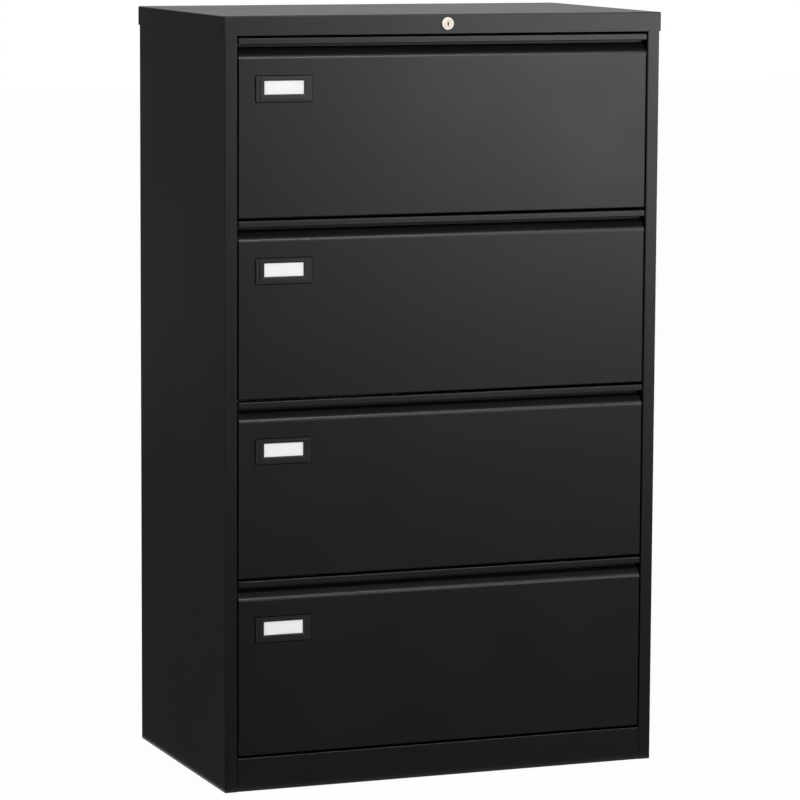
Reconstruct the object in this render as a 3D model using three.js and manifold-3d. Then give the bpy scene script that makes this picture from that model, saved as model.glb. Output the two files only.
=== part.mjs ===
// Lateral filing cabinet in folded sheet steel: carcass, four pull-out drawers on
// telescopic slides, and a front lock that works a locking bar at the back.
// Millimetres, +Z up, +X to the viewer's right, drawers open towards -Y.
// The origin is the middle of the overall box, on the floor.
import * as THREE from 'three';
import { mergeVertices } from 'three/addons/utils/BufferGeometryUtils.js';
import Module from 'manifold-3d';

const wasm = await Module();
wasm.setup();

// Overall sizes of the cabinet, measured over the top cover
const WIDTH = 800;
const DEPTH = 470;
const HEIGHT = 1321;

// Sheet metal
const SHEET = 1;
const BEND = 1.5;
const BEND_STEPS = 3;
const FIT = 0.3;

// Carcass
const CAP_SHEET = 1.2;
const CAP_SKIRT = 33;
const CAP_OVERHANG = 2;
const CAP_EDGE_RADIUS = 2.2;
const STILE = 22;
const STILE_RETURN = 40;
const PLINTH_HEIGHT = 58;
const PLINTH_SEAM = 0.5;
const PLINTH_FLANGE = 25;
const BASE_FLANGE = 25;
const BACK_FLANGE = 16;
const TOP_RAIL_FLANGE = 25;
const TOP_RAIL_LIFT = 2;

// Drawer fronts: panel, sloped pull recess and hemmed lip in one folded sheet
const DRAWERS = 4;
const FRONT_GAP = 4;
const FRONT_SIDE_GAP = 2.25;
const PULL_LIP = 11;
const PULL_OPENING = 25;
const RECESS_DEPTH = 16.5;
const RECESS_SLOPE = Math.PI / 4;
const PANEL_BEND = 5.5;
const HEM_PITCH = 1.5;
const HEM_RETURN = 8;
const FRONT_BOTTOM_RETURN = 15;
const FRONT_SIDE_RETURN = 18;
const FRONT_SIDE_DROP = 2;

// Trays and hanging-file rails
const TRAY_DEPTH = 430;
const TRAY_FLOOR = 6;
const TRAY_SIDE = 95;
const TRAY_SIDE_LIP = 8;
const TRAY_FRONT_DROP = 4.5;
const RAIL_DROP = 52;
const GUSSET_RUN = 80;
const FLOOR_BEADS = 4;
const BEAD_WIDTH = 14;
const BEAD_DEPTH = 2.5;
const BEAD_CORNER = 4.5;
const BEAD_END = 45;
const RAIL_LEG = 20;
const RAIL_SHELF = 12;
const RAIL_UPSTAND = 10;
const RAIL_END_GAP = 1;

// Telescopic slides, three members nested with running clearance
const SLIDE_LENGTH = 424;
const SLIDE_SETBACK = 4.5;
const SLIDE_THICKNESS = 12.7;
const SLIDE_HEIGHT = 45.7;
const SLIDE_SHEET = 1.2;
const SLIDE_BEND = 1.2;
const SLIDE_LIFT = 30;
const SLIDE_LIP = 2.4;
const SLIDE_MOUTH = 2.5;
const SLIDE_SLOT_LENGTH = 14;
const SLIDE_SLOT_WIDTH = 5;
const SLIDE_SLOT_SPREAD = 150;

// Label holders and their cards
const LABEL_WIDTH = 100;
const LABEL_HEIGHT = 43;
const LABEL_CORNER = 2;
const LABEL_PROUD = 3.8;
const LABEL_BASE = 2;
const LABEL_STEP = 6.5;
const LABEL_FROM_EDGE = 30;
const LABEL_DROP = 28;
const WINDOW_WIDTH = 70.5;
const WINDOW_HEIGHT = 22.8;
const WINDOW_RAISE = 2.2;
const CARD_MARGIN = 3;
const CARD_THICKNESS = 0.5;

// Lock, rod with its crank plate, locking bar and its guide
const LOCK_PROUD = 4;
const LOCK_HEAD_RADIUS = 11.4;
const LOCK_FACE_RADIUS = 9.6;
const LOCK_NECK_RADIUS = 9.3;
const LOCK_LENGTH = 24;
const LOCK_SIDES = 32;
const PLUG_RADIUS = 6;
const PLUG_SUNK = 0.3;
const KEYWAY_WIDTH = 2.7;
const KEYWAY_HEIGHT = 7.4;
const KEYWAY_DEPTH = 16;
const ROD_RADIUS = 3;
const ROD_SIDES = 10;
const CRANK_RADIUS = 8;
const CRANK_ANGLE = Math.PI / 4;
const CRANK_PLATE = 3;
const CRANK_RIM = 2;
const CRANK_STROKE_SLACK = 0.6;
const BAR_WIDTH = 24;
const BAR_THICKNESS = 3;
const BAR_TOP_EDGE = 4;
const BAR_TAIL = 25;
const GUIDE_LIP = 5;
const GUIDE_HEAD_ROOM = 12;
const GUIDE_TAIL = 30;
const ARM_WIDTH = 10;
const ARM_HEIGHT = 6;
const PRONG = 3;
const PRONG_CLEAR = 1.5;
const CATCH_SHEET = 1.5;
const CATCH_WIDTH = 26;
const CATCH_REACH = 9;
const CATCH_BEND = 1.2;
const CATCH_DROP = 90;

// Planes that the pieces share
const CAP_FRONT = LOCK_PROUD - (DEPTH + LOCK_PROUD) / 2;
const BACK = CAP_FRONT + DEPTH;
const FRONT = CAP_FRONT + CAP_OVERHANG;
const SIDE = WIDTH / 2 - CAP_OVERHANG;
const OPENING = SIDE - STILE;
const HALF_SHEET = SHEET / 2;
const BODY_TOP = HEIGHT - CAP_SHEET - FIT;
const FRONT_HEIGHT = (HEIGHT - CAP_SKIRT - PLINTH_HEIGHT - (DRAWERS + 1) * FRONT_GAP) / DRAWERS;
const FRONT_HALF = OPENING - FRONT_SIDE_GAP;
const FRONT_DEPTH = RECESS_DEPTH + SHEET;
const PANEL_TOP = FRONT_HEIGHT - PULL_LIP - PULL_OPENING;
const SLIDE_FACE = OPENING - FIT;
const TRAY_HALF = SLIDE_FACE - SLIDE_THICKNESS - FIT;
const TRAY_FRONT = FRONT_DEPTH + FIT;
const TRAY_BACK = TRAY_FRONT + TRAY_DEPTH;
const RAIL_TOP = FRONT_HEIGHT - RAIL_DROP;
const LOCK_Z = HEIGHT - CAP_SKIRT / 2;
const CRANK_LIFT = 2 * CRANK_RADIUS * Math.sin(CRANK_ANGLE);
const BAR_X = -CRANK_RADIUS * (1 + Math.cos(CRANK_ANGLE)) / 2;
const GUIDE_BACK = BACK - SHEET - FIT;
const BAR_BACK = GUIDE_BACK - SHEET - FIT;
const BAR_FRONT = BAR_BACK - BAR_THICKNESS;
const CATCH_LIP = CRANK_LIFT + PRONG_CLEAR;

// Finishes
const coat = new THREE.MeshStandardMaterial({ color: 0x2b2c2e, roughness: 0.55, metalness: 0.1 });
const zinc = new THREE.MeshStandardMaterial({ color: 0xb9bcbf, roughness: 0.35, metalness: 0.9 });
const nickel = new THREE.MeshStandardMaterial({ color: 0xd9d2c4, roughness: 0.25, metalness: 1 });
const bezelPlastic = new THREE.MeshStandardMaterial({ color: 0x1c1b1f, roughness: 0.45, metalness: 0 });
const cardWhite = new THREE.MeshStandardMaterial({ color: 0xf4f4f2, roughness: 0.8, metalness: 0 });

// Closed outline of a sheet folded along a centre line; each inner point bends with its radius
function foldedSheet(points, thickness, radii, steps = BEND_STEPS) {
  const left = [];
  const right = [];
  const emit = (point, direction) => {
    const normal = new THREE.Vector2(-direction.y, direction.x).multiplyScalar(thickness / 2);
    left.push(point.clone().add(normal));
    right.push(point.clone().sub(normal));
  };
  const line = points.map(([u, v]) => new THREE.Vector2(u, v));
  const headings = line.slice(1).map((point, i) => point.clone().sub(line[i]).normalize());
  emit(line[0], headings[0]);
  for (let i = 1; i < line.length - 1; i += 1) {
    const before = headings[i - 1];
    const after = headings[i];
    const turn = Math.atan2(before.cross(after), before.dot(after));
    const radius = Array.isArray(radii) ? radii[i - 1] : radii;
    const setback = radius * Math.tan(Math.abs(turn) / 2);
    const start = line[i].clone().addScaledVector(before, -setback);
    const side = Math.sign(turn);
    const centre = start.clone().add(new THREE.Vector2(-before.y, before.x).multiplyScalar(side * radius));
    for (let k = 0; k <= steps; k += 1) {
      const angle = (turn * k) / steps;
      const point = start.clone().rotateAround(centre, angle);
      emit(point, before.clone().rotateAround(new THREE.Vector2(), angle));
    }
  }
  emit(line.at(-1), headings.at(-1));
  return new THREE.Shape([...left, ...right.reverse()]);
}

function roundedRectangle(width, height, radius) {
  const shape = new THREE.Shape();
  const x = width / 2 - radius;
  const y = height / 2 - radius;
  shape.absarc(x, y, radius, 0, Math.PI / 2);
  shape.absarc(-x, y, radius, Math.PI / 2, Math.PI);
  shape.absarc(-x, -y, radius, Math.PI, 1.5 * Math.PI);
  shape.absarc(x, -y, radius, 1.5 * Math.PI, 2 * Math.PI);
  shape.closePath();
  return shape;
}

function extrude(shape, depth, curveSegments = BEND_STEPS) {
  return new THREE.ExtrudeGeometry(shape, { depth, bevelEnabled: false, curveSegments });
}

// Outline in X and Y, raised from one height to another
function raise(shape, bottom, top, curveSegments = BEND_STEPS) {
  return extrude(shape, top - bottom, curveSegments).translate(0, 0, bottom);
}

// Outline in Y and Z, drawn out along X
function drawAlongX(shape, from, to) {
  const turn = new THREE.Matrix4().makeBasis(
    new THREE.Vector3(0, 1, 0),
    new THREE.Vector3(0, 0, 1),
    new THREE.Vector3(1, 0, 0),
  );
  return extrude(shape, to - from).applyMatrix4(turn).translate(from, 0, 0);
}

// Outline in X and Z, drawn out along Y
function drawAlongY(shape, from, to) {
  return extrude(shape, to - from).rotateX(Math.PI / 2).translate(0, to, 0);
}

function block(x0, x1, y0, y1, z0, z1) {
  const box = new THREE.BoxGeometry(x1 - x0, y1 - y0, z1 - z0);
  return box.translate((x0 + x1) / 2, (y0 + y1) / 2, (z0 + z1) / 2);
}

function solid(geometry) {
  const bare = geometry.clone();
  bare.deleteAttribute('normal');
  bare.deleteAttribute('uv');
  const merged = mergeVertices(bare);
  return new wasm.Manifold(new wasm.Mesh({
    numProp: 3,
    vertProperties: new Float32Array(merged.attributes.position.array),
    triVerts: new Uint32Array(merged.index.array),
  }));
}

function fuse(...geometries) {
  return geometries.map(solid).reduce((whole, piece) => whole.add(piece));
}

function cut(body, ...geometries) {
  return geometries.map(solid).reduce((rest, tool) => rest.subtract(tool), body);
}

function geometryOf(body) {
  const { vertProperties, triVerts } = body.getMesh();
  const geometry = new THREE.BufferGeometry();
  geometry.setAttribute('position', new THREE.BufferAttribute(vertProperties, 3));
  geometry.setIndex(new THREE.BufferAttribute(triVerts, 1));
  geometry.computeVertexNormals();
  return geometry;
}

function piece(name, geometry, material) {
  const mesh = new THREE.Mesh(geometry, material);
  mesh.name = name;
  return mesh;
}

// Hole for the lock's neck through the cap skirt and the top rail
function lockHole() {
  const reach = TOP_RAIL_FLANGE;
  const hole = new THREE.CylinderGeometry(
    LOCK_NECK_RADIUS + FIT,
    LOCK_NECK_RADIUS + FIT,
    reach,
    LOCK_SIDES,
  );
  return hole.translate(0, CAP_FRONT, LOCK_Z);
}

// Side panel: outer skin, front stile and rear flange, both returned into the cabinet
function sidePanel(hand) {
  const skin = SIDE - HALF_SHEET;
  const inner = OPENING + HALF_SHEET;
  const outline = foldedSheet([
    [hand * inner, FRONT + STILE_RETURN],
    [hand * inner, FRONT + HALF_SHEET],
    [hand * skin, FRONT + HALF_SHEET],
    [hand * skin, BACK - HALF_SHEET],
    [hand * inner, BACK - HALF_SHEET],
    [hand * inner, BACK - STILE_RETURN],
  ], SHEET, BEND);
  return raise(outline, 0, BODY_TOP);
}

// Top cover: a pan turned upside down, its four top edges rounded in the press
function topCover() {
  const half = WIDTH / 2;
  const bottom = HEIGHT - CAP_SKIRT;
  const archOver = (low, high) => {
    const arch = new THREE.Shape();
    arch.moveTo(low, bottom);
    arch.lineTo(high, bottom);
    arch.lineTo(high, HEIGHT - CAP_EDGE_RADIUS);
    arch.absarc(high - CAP_EDGE_RADIUS, HEIGHT - CAP_EDGE_RADIUS, CAP_EDGE_RADIUS, 0, Math.PI / 2);
    arch.absarc(low + CAP_EDGE_RADIUS, HEIGHT - CAP_EDGE_RADIUS, CAP_EDGE_RADIUS, Math.PI / 2, Math.PI);
    arch.closePath();
    return arch;
  };
  const acrossWidth = solid(drawAlongY(archOver(-half, half), CAP_FRONT, BACK));
  const acrossDepth = solid(drawAlongX(archOver(CAP_FRONT, BACK), -half, half));
  const hollow = block(
    CAP_SHEET - half,
    half - CAP_SHEET,
    CAP_FRONT + CAP_SHEET,
    BACK + SHEET,
    bottom - SHEET,
    HEIGHT - CAP_SHEET,
  );
  return geometryOf(cut(acrossWidth.intersect(acrossDepth), hollow, lockHole()));
}

// Channel behind the cap's front skirt; it ties the side panels and carries the lock
function frontTopRail() {
  const bottom = HEIGHT - CAP_SKIRT + TOP_RAIL_LIFT;
  const outline = foldedSheet([
    [FRONT + TOP_RAIL_FLANGE, bottom + HALF_SHEET],
    [FRONT + HALF_SHEET, bottom + HALF_SHEET],
    [FRONT + HALF_SHEET, BODY_TOP - HALF_SHEET],
    [FRONT + TOP_RAIL_FLANGE, BODY_TOP - HALF_SHEET],
  ], SHEET, BEND);
  const channel = solid(drawAlongX(outline, FIT - OPENING, OPENING - FIT));
  return geometryOf(cut(channel, lockHole()));
}

function backPanel() {
  const edge = OPENING - FIT - HALF_SHEET;
  const outline = foldedSheet([
    [-edge, BACK - BACK_FLANGE],
    [-edge, BACK - HALF_SHEET],
    [edge, BACK - HALF_SHEET],
    [edge, BACK - BACK_FLANGE],
  ], SHEET, BEND);
  return raise(outline, 0, BODY_TOP);
}

function plinth() {
  const outline = foldedSheet([
    [FRONT + PLINTH_FLANGE, HALF_SHEET],
    [FRONT + HALF_SHEET, HALF_SHEET],
    [FRONT + HALF_SHEET, PLINTH_HEIGHT - HALF_SHEET],
    [FRONT + PLINTH_FLANGE, PLINTH_HEIGHT - HALF_SHEET],
  ], SHEET, BEND);
  return drawAlongX(outline, PLINTH_SEAM - OPENING, OPENING - PLINTH_SEAM);
}

// Base pan: the floor of the carcass behind the plinth, with edges turned down
function basePan() {
  const half = OPENING - FIT - SHEET - FIT;
  const front = FRONT + PLINTH_FLANGE + FIT;
  const back = BACK - SHEET - BEND;
  const bottom = PLINTH_HEIGHT - BASE_FLANGE;
  const pan = solid(block(-half, half, front, back, bottom, PLINTH_HEIGHT));
  const hollow = block(
    SHEET - half,
    half - SHEET,
    front + SHEET,
    back - SHEET,
    bottom - SHEET,
    PLINTH_HEIGHT - SHEET,
  );
  return geometryOf(cut(pan, hollow));
}

// Drawer front, in the drawer's own place: Y from the front plane back, Z from its lower edge
function drawerFront() {
  const rear = FRONT_DEPTH - HALF_SHEET;
  const fold = PANEL_TOP + PANEL_BEND * Math.tan(RECESS_SLOPE / 2);
  const slopeTop = fold + (rear - HALF_SHEET) / Math.tan(RECESS_SLOPE);
  const top = FRONT_HEIGHT - HALF_SHEET;
  const lipBottom = FRONT_HEIGHT - PULL_LIP + HALF_SHEET;
  const hemBack = HALF_SHEET + HEM_PITCH;
  const outline = foldedSheet([
    [rear, FRONT_BOTTOM_RETURN],
    [rear, HALF_SHEET],
    [HALF_SHEET, HALF_SHEET],
    [HALF_SHEET, fold],
    [rear, slopeTop],
    [rear, top],
    [HALF_SHEET, top],
    [HALF_SHEET, lipBottom],
    [hemBack, lipBottom],
    [hemBack, lipBottom + HEM_RETURN],
  ], SHEET, [BEND, BEND, PANEL_BEND, BEND, BEND, BEND, HEM_PITCH / 2, HEM_PITCH / 2]);
  const flangeTop = PANEL_TOP - FRONT_SIDE_DROP;
  const outerBend = BEND + HALF_SHEET;
  const flanges = [-1, 1].map((hand) => {
    const edge = hand * (FRONT_HALF - HALF_SHEET);
    const path = [
      [hand * (FRONT_HALF - FRONT_SIDE_RETURN), rear],
      [edge, rear],
      [edge, HALF_SHEET],
      [hand * (FRONT_HALF - FRONT_SIDE_RETURN), HALF_SHEET],
    ];
    return raise(foldedSheet(path, SHEET, BEND), 0, flangeTop);
  });
  const corners = [-1, 1].map((hand) => {
    const corner = new THREE.Shape();
    const centre = FRONT_HALF - outerBend;
    corner.moveTo(hand * centre, -SHEET);
    corner.lineTo(hand * (FRONT_HALF + SHEET), -SHEET);
    corner.lineTo(hand * (FRONT_HALF + SHEET), outerBend);
    const start = hand > 0 ? 0 : Math.PI;
    corner.absarc(hand * centre, outerBend, outerBend, start, 1.5 * Math.PI, hand > 0);
    return raise(corner, -SHEET, flangeTop);
  });
  const sheet = cut(solid(drawAlongX(outline, -FRONT_HALF, FRONT_HALF)), ...corners);
  return geometryOf(flanges.map(solid).reduce((whole, flange) => whole.add(flange), sheet));
}

// Stiffening beads of the tray floor: oblongs with clipped corners, for the metal or for its hollow
function floorBeads(width, length, bottom, top) {
  const pitch = (2 * TRAY_HALF) / (FLOOR_BEADS + 1);
  return Array.from({ length: FLOOR_BEADS }, (_, i) => {
    const oblong = raise(roundedRectangle(width, length, BEAD_CORNER), bottom, top, 1);
    return oblong.translate((i + 1) * pitch - TRAY_HALF, TRAY_FRONT + TRAY_DEPTH / 2, 0);
  });
}

// Tray: beaded floor and low sides folded from one sheet, end walls, corner gussets, lock catch
function drawerTray() {
  const side = TRAY_HALF - HALF_SHEET;
  const floor = TRAY_FLOOR + HALF_SHEET;
  const rim = TRAY_FLOOR + TRAY_SIDE - HALF_SHEET;
  const trough = foldedSheet([
    [TRAY_SIDE_LIP - side, rim],
    [-side, rim],
    [-side, floor],
    [side, floor],
    [side, rim],
    [side - TRAY_SIDE_LIP, rim],
  ], SHEET, BEND);
  const frontTop = FRONT_HEIGHT - TRAY_FRONT_DROP;
  const frontWall = block(-TRAY_HALF, TRAY_HALF, TRAY_FRONT, TRAY_FRONT + SHEET, TRAY_FLOOR, frontTop);
  const rearWall = block(-TRAY_HALF, TRAY_HALF, TRAY_BACK - SHEET, TRAY_BACK, TRAY_FLOOR, RAIL_TOP);
  const gusset = (end, inward) => new THREE.Shape([
    new THREE.Vector2(end, TRAY_FLOOR + TRAY_SIDE / 2),
    new THREE.Vector2(end + inward * GUSSET_RUN, TRAY_FLOOR + TRAY_SIDE / 2),
    new THREE.Vector2(end + inward * GUSSET_RUN, rim),
    new THREE.Vector2(end + inward * SHEET, RAIL_TOP),
    new THREE.Vector2(end, RAIL_TOP),
  ]);
  const gussets = [-1, 1].flatMap((hand) => {
    const inside = hand > 0 ? TRAY_HALF - SHEET : -TRAY_HALF;
    return [
      drawAlongX(gusset(TRAY_FRONT, 1), inside, inside + SHEET),
      drawAlongX(gusset(TRAY_BACK, -1), inside, inside + SHEET),
    ];
  });
  const catchZ = FRONT_HEIGHT - CATCH_DROP - CATCH_SHEET / 2;
  const catchLip = TRAY_BACK + CATCH_REACH - CATCH_SHEET / 2;
  const catchOutline = foldedSheet([
    [TRAY_BACK - HALF_SHEET, catchZ],
    [catchLip, catchZ],
    [catchLip, catchZ - CATCH_SHEET / 2 - CATCH_LIP],
  ], CATCH_SHEET, CATCH_BEND);
  const lockCatch = drawAlongX(catchOutline, BAR_X - CATCH_WIDTH / 2, BAR_X + CATCH_WIDTH / 2);
  const beadLength = TRAY_DEPTH - 2 * BEAD_END;
  const beadBottom = TRAY_FLOOR - BEAD_DEPTH;
  const beads = floorBeads(BEAD_WIDTH, beadLength, beadBottom, floor);
  const hollows = floorBeads(
    BEAD_WIDTH - 2 * SHEET,
    beadLength - 2 * SHEET,
    beadBottom + SHEET,
    TRAY_FLOOR + 2 * SHEET,
  );
  const sheets = [drawAlongY(trough, TRAY_FRONT, TRAY_BACK), frontWall, rearWall, ...gussets];
  return geometryOf(cut(fuse(...sheets, lockCatch, ...beads), ...hollows));
}

// Hanging-file rail: leg on the wall, shelf, and the upright edge that folder hooks ride on
function fileRail(wallFace, inward) {
  const leg = wallFace + inward * (FIT + HALF_SHEET);
  const hook = leg + inward * RAIL_SHELF;
  const shelf = RAIL_TOP - RAIL_UPSTAND;
  const outline = foldedSheet([
    [leg, shelf - RAIL_LEG],
    [leg, shelf],
    [hook, shelf],
    [hook, RAIL_TOP],
  ], SHEET, BEND);
  const half = TRAY_HALF - SHEET - RAIL_END_GAP;
  return drawAlongX(outline, -half, half);
}

// Slide members, seen along the slide: U from the cabinet side towards the drawer, Z up.
// The outer and inner webs have oblong slots for the screws that fix them.
function slideMember(kind) {
  const half = SLIDE_HEIGHT / 2;
  const thick = SLIDE_SHEET / 2;
  const channel = (inset, mouth) => {
    const web = inset + thick;
    const flange = half - inset - thick;
    const lip = mouth - thick;
    return [
      [lip, flange - SLIDE_LIP],
      [lip, flange],
      [web, flange],
      [web, -flange],
      [lip, -flange],
      [lip, SLIDE_LIP - flange],
    ];
  };
  const outerMouth = SLIDE_THICKNESS - SLIDE_MOUTH;
  const middleInset = SLIDE_SHEET + FIT;
  const middleMouth = outerMouth - middleInset;
  const middleFlange = half - middleInset - SLIDE_SHEET;
  const hatBrim = middleFlange - FIT;
  const hatSide = middleFlange - SLIDE_LIP - thick - FIT;
  const hatFoot = middleMouth - SLIDE_SHEET - FIT - thick;
  const hatTop = SLIDE_THICKNESS - thick;
  const paths = {
    outer: channel(0, outerMouth),
    middle: channel(middleInset, middleMouth),
    inner: [
      [hatFoot, hatBrim],
      [hatFoot, hatSide],
      [hatTop, hatSide],
      [hatTop, -hatSide],
      [hatFoot, -hatSide],
      [hatFoot, -hatBrim],
    ],
  };
  const outline = foldedSheet(paths[kind], SLIDE_SHEET, SLIDE_BEND, 2);
  const rolled = drawAlongY(outline, -SLIDE_LENGTH / 2, SLIDE_LENGTH / 2);
  if (kind === 'middle') {
    return rolled;
  }
  const web = kind === 'outer' ? 0 : SLIDE_THICKNESS - SLIDE_SHEET;
  const slots = [-SLIDE_SLOT_SPREAD, SLIDE_SLOT_SPREAD].map((y) => block(
    web - SHEET,
    web + SLIDE_SHEET + SHEET,
    y - SLIDE_SLOT_LENGTH / 2,
    y + SLIDE_SLOT_LENGTH / 2,
    -SLIDE_SLOT_WIDTH / 2,
    SLIDE_SLOT_WIDTH / 2,
  ));
  return geometryOf(cut(solid(rolled), ...slots));
}

// Label holder: moulded bezel with a stepped face; the card sits in a pocket behind its window
function labelHolder() {
  const windowHole = () => {
    const hole = roundedRectangle(WINDOW_WIDTH, WINDOW_HEIGHT, LABEL_CORNER / 2);
    return drawAlongY(hole, -LABEL_PROUD - SHEET, SHEET).translate(0, 0, WINDOW_RAISE);
  };
  const pocketDepth = FIT + CARD_THICKNESS + FIT;
  const pocketHole = roundedRectangle(
    WINDOW_WIDTH + 2 * (CARD_MARGIN + FIT),
    WINDOW_HEIGHT + 2 * (CARD_MARGIN + FIT),
    LABEL_CORNER / 2,
  );
  const pocket = drawAlongY(pocketHole, -FIT - pocketDepth, SHEET).translate(0, 0, WINDOW_RAISE);
  const base = drawAlongY(
    roundedRectangle(LABEL_WIDTH, LABEL_HEIGHT, LABEL_CORNER),
    -LABEL_BASE - FIT,
    -FIT,
  );
  const raised = drawAlongY(
    roundedRectangle(LABEL_WIDTH - 2 * LABEL_STEP, LABEL_HEIGHT - LABEL_STEP, LABEL_CORNER),
    -LABEL_PROUD,
    -FIT,
  );
  return geometryOf(cut(fuse(base, raised), windowHole(), pocket));
}

function labelCard() {
  const card = roundedRectangle(
    WINDOW_WIDTH + 2 * CARD_MARGIN,
    WINDOW_HEIGHT + 2 * CARD_MARGIN,
    LABEL_CORNER / 2,
  );
  const back = -2 * FIT;
  return drawAlongY(card, back - CARD_THICKNESS, back).translate(0, 0, WINDOW_RAISE);
}

// Lock barrel: domed head outside the skirt, neck through skirt and rail
function lockBarrel() {
  const bore = PLUG_RADIUS + FIT;
  const dome = (LOCK_HEAD_RADIUS - LOCK_FACE_RADIUS) / 2;
  const profile = [
    [bore, -LOCK_PROUD + PLUG_SUNK],
    [bore + PLUG_SUNK, -LOCK_PROUD],
    [LOCK_FACE_RADIUS, -LOCK_PROUD],
    [LOCK_FACE_RADIUS + dome, -LOCK_PROUD + dome],
    [LOCK_HEAD_RADIUS, -2 * dome],
    [LOCK_HEAD_RADIUS, -FIT],
    [LOCK_NECK_RADIUS, -FIT],
    [LOCK_NECK_RADIUS, LOCK_LENGTH],
    [bore, LOCK_LENGTH],
    [bore, -LOCK_PROUD + PLUG_SUNK],
  ];
  return new THREE.LatheGeometry(profile.map(([r, y]) => new THREE.Vector2(r, y)), LOCK_SIDES);
}

function lockPlug() {
  const face = -LOCK_PROUD + PLUG_SUNK;
  const profile = [
    [0, face],
    [PLUG_RADIUS - PLUG_SUNK, face],
    [PLUG_RADIUS, face + PLUG_SUNK],
    [PLUG_RADIUS, LOCK_LENGTH + FIT],
    [0, LOCK_LENGTH + FIT],
  ];
  const body = new THREE.LatheGeometry(profile.map(([r, y]) => new THREE.Vector2(r, y)), LOCK_SIDES);
  const keyway = roundedRectangle(KEYWAY_WIDTH, KEYWAY_HEIGHT, KEYWAY_WIDTH / 3);
  return geometryOf(cut(solid(body), drawAlongY(keyway, face - SHEET, face + KEYWAY_DEPTH)));
}

// Lock rod: round bar from the plug to the back, with a crank plate and pin at its rear end
function lockRod() {
  const front = CAP_FRONT + LOCK_LENGTH + 2 * FIT;
  const plateBack = BAR_FRONT - FIT;
  const plateFront = plateBack - CRANK_PLATE;
  const pinEnd = BAR_BACK - FIT;
  const bar = (from, to) => {
    const round = new THREE.CylinderGeometry(ROD_RADIUS, ROD_RADIUS, to - from, ROD_SIDES);
    return round.translate(0, (from + to) / 2, 0);
  };
  const eye = ROD_RADIUS + CRANK_RIM;
  const plate = new THREE.Shape();
  plate.absarc(CRANK_RADIUS, 0, eye, -Math.PI / 2, Math.PI / 2);
  plate.absarc(0, 0, eye, Math.PI / 2, 1.5 * Math.PI);
  plate.closePath();
  const pin = bar(plateFront + HALF_SHEET, pinEnd).translate(CRANK_RADIUS, 0, 0);
  const rod = fuse(bar(front, plateFront + HALF_SHEET), drawAlongY(plate, plateFront, plateBack), pin);
  return geometryOf(rod).rotateY(Math.PI - CRANK_ANGLE).translate(0, 0, LOCK_Z);
}

// Height of a drawer's lower edge; drawer 1 is the top one
function drawerBottom(number) {
  return PLINTH_HEIGHT + FRONT_GAP + (DRAWERS - number) * (FRONT_HEIGHT + FRONT_GAP);
}

// Locking bar: flat bar with a crank slot at the top and an upright prong below each catch
function lockingBar() {
  const slotZ = LOCK_Z - CRANK_LIFT / 2;
  const slotHeight = 2 * (ROD_RADIUS + CRANK_STROKE_SLACK);
  const slotWidth = CRANK_RADIUS * (1 - Math.cos(CRANK_ANGLE)) + slotHeight;
  const slotShape = roundedRectangle(slotWidth, slotHeight, slotHeight / 3);
  const slot = drawAlongY(slotShape, BAR_FRONT - SHEET, BAR_BACK + SHEET).translate(BAR_X, 0, slotZ);
  const prongY = FRONT + TRAY_BACK + (CATCH_REACH - CATCH_SHEET) / 2;
  const arms = [];
  for (let number = 1; number <= DRAWERS; number += 1) {
    const lipBottom = drawerBottom(number) + FRONT_HEIGHT - CATCH_DROP - CATCH_SHEET - CATCH_LIP;
    const prongTop = lipBottom - PRONG_CLEAR;
    const armTop = prongTop - CATCH_LIP;
    arms.push(new THREE.Shape([
      new THREE.Vector2(BAR_BACK - BAR_THICKNESS / 2, armTop - ARM_HEIGHT),
      new THREE.Vector2(BAR_BACK - BAR_THICKNESS / 2, armTop),
      new THREE.Vector2(prongY + PRONG / 2, armTop),
      new THREE.Vector2(prongY + PRONG / 2, prongTop),
      new THREE.Vector2(prongY - PRONG / 2, prongTop),
      new THREE.Vector2(prongY - PRONG / 2, armTop - ARM_HEIGHT),
    ]));
  }
  const bottom = drawerBottom(DRAWERS) + FRONT_HEIGHT - CATCH_DROP - CATCH_LIP * 2 - BAR_TAIL;
  const top = slotZ + slotHeight / 2 + BAR_TOP_EDGE;
  const flat = block(BAR_X - BAR_WIDTH / 2, BAR_X + BAR_WIDTH / 2, BAR_FRONT, BAR_BACK, bottom, top);
  const prongs = arms.map((arm) => drawAlongX(arm, BAR_X - ARM_WIDTH / 2, BAR_X + ARM_WIDTH / 2));
  return geometryOf(cut(fuse(flat, ...prongs), slot));
}

// Guide for the locking bar: lipped channel fixed on the back panel
function lockBarGuide() {
  const web = GUIDE_BACK - HALF_SHEET;
  const lip = BAR_FRONT - FIT - HALF_SHEET;
  const wall = BAR_WIDTH / 2 + FIT + HALF_SHEET;
  const outline = foldedSheet([
    [BAR_X + wall - GUIDE_LIP, lip],
    [BAR_X + wall, lip],
    [BAR_X + wall, web],
    [BAR_X - wall, web],
    [BAR_X - wall, lip],
    [BAR_X - wall + GUIDE_LIP, lip],
  ], SHEET, HALF_SHEET + FIT / 2);
  const top = LOCK_Z - CRANK_RADIUS - ROD_RADIUS - GUIDE_HEAD_ROOM;
  const bottom = drawerBottom(DRAWERS) + FRONT_HEIGHT - CATCH_DROP - CATCH_LIP * 2 + GUIDE_TAIL;
  return raise(outline, bottom, top);
}

const cabinet = new THREE.Group();

const carcass = new THREE.Group();
carcass.add(
  piece('side_panel_left', sidePanel(-1), coat),
  piece('side_panel_right', sidePanel(1), coat),
  piece('back_panel', backPanel(), coat),
  piece('top_cover', topCover(), coat),
  piece('front_top_rail', frontTopRail(), coat),
  piece('base_pan', basePan(), coat),
  piece('plinth', plinth(), coat),
);
cabinet.add(carcass);

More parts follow.
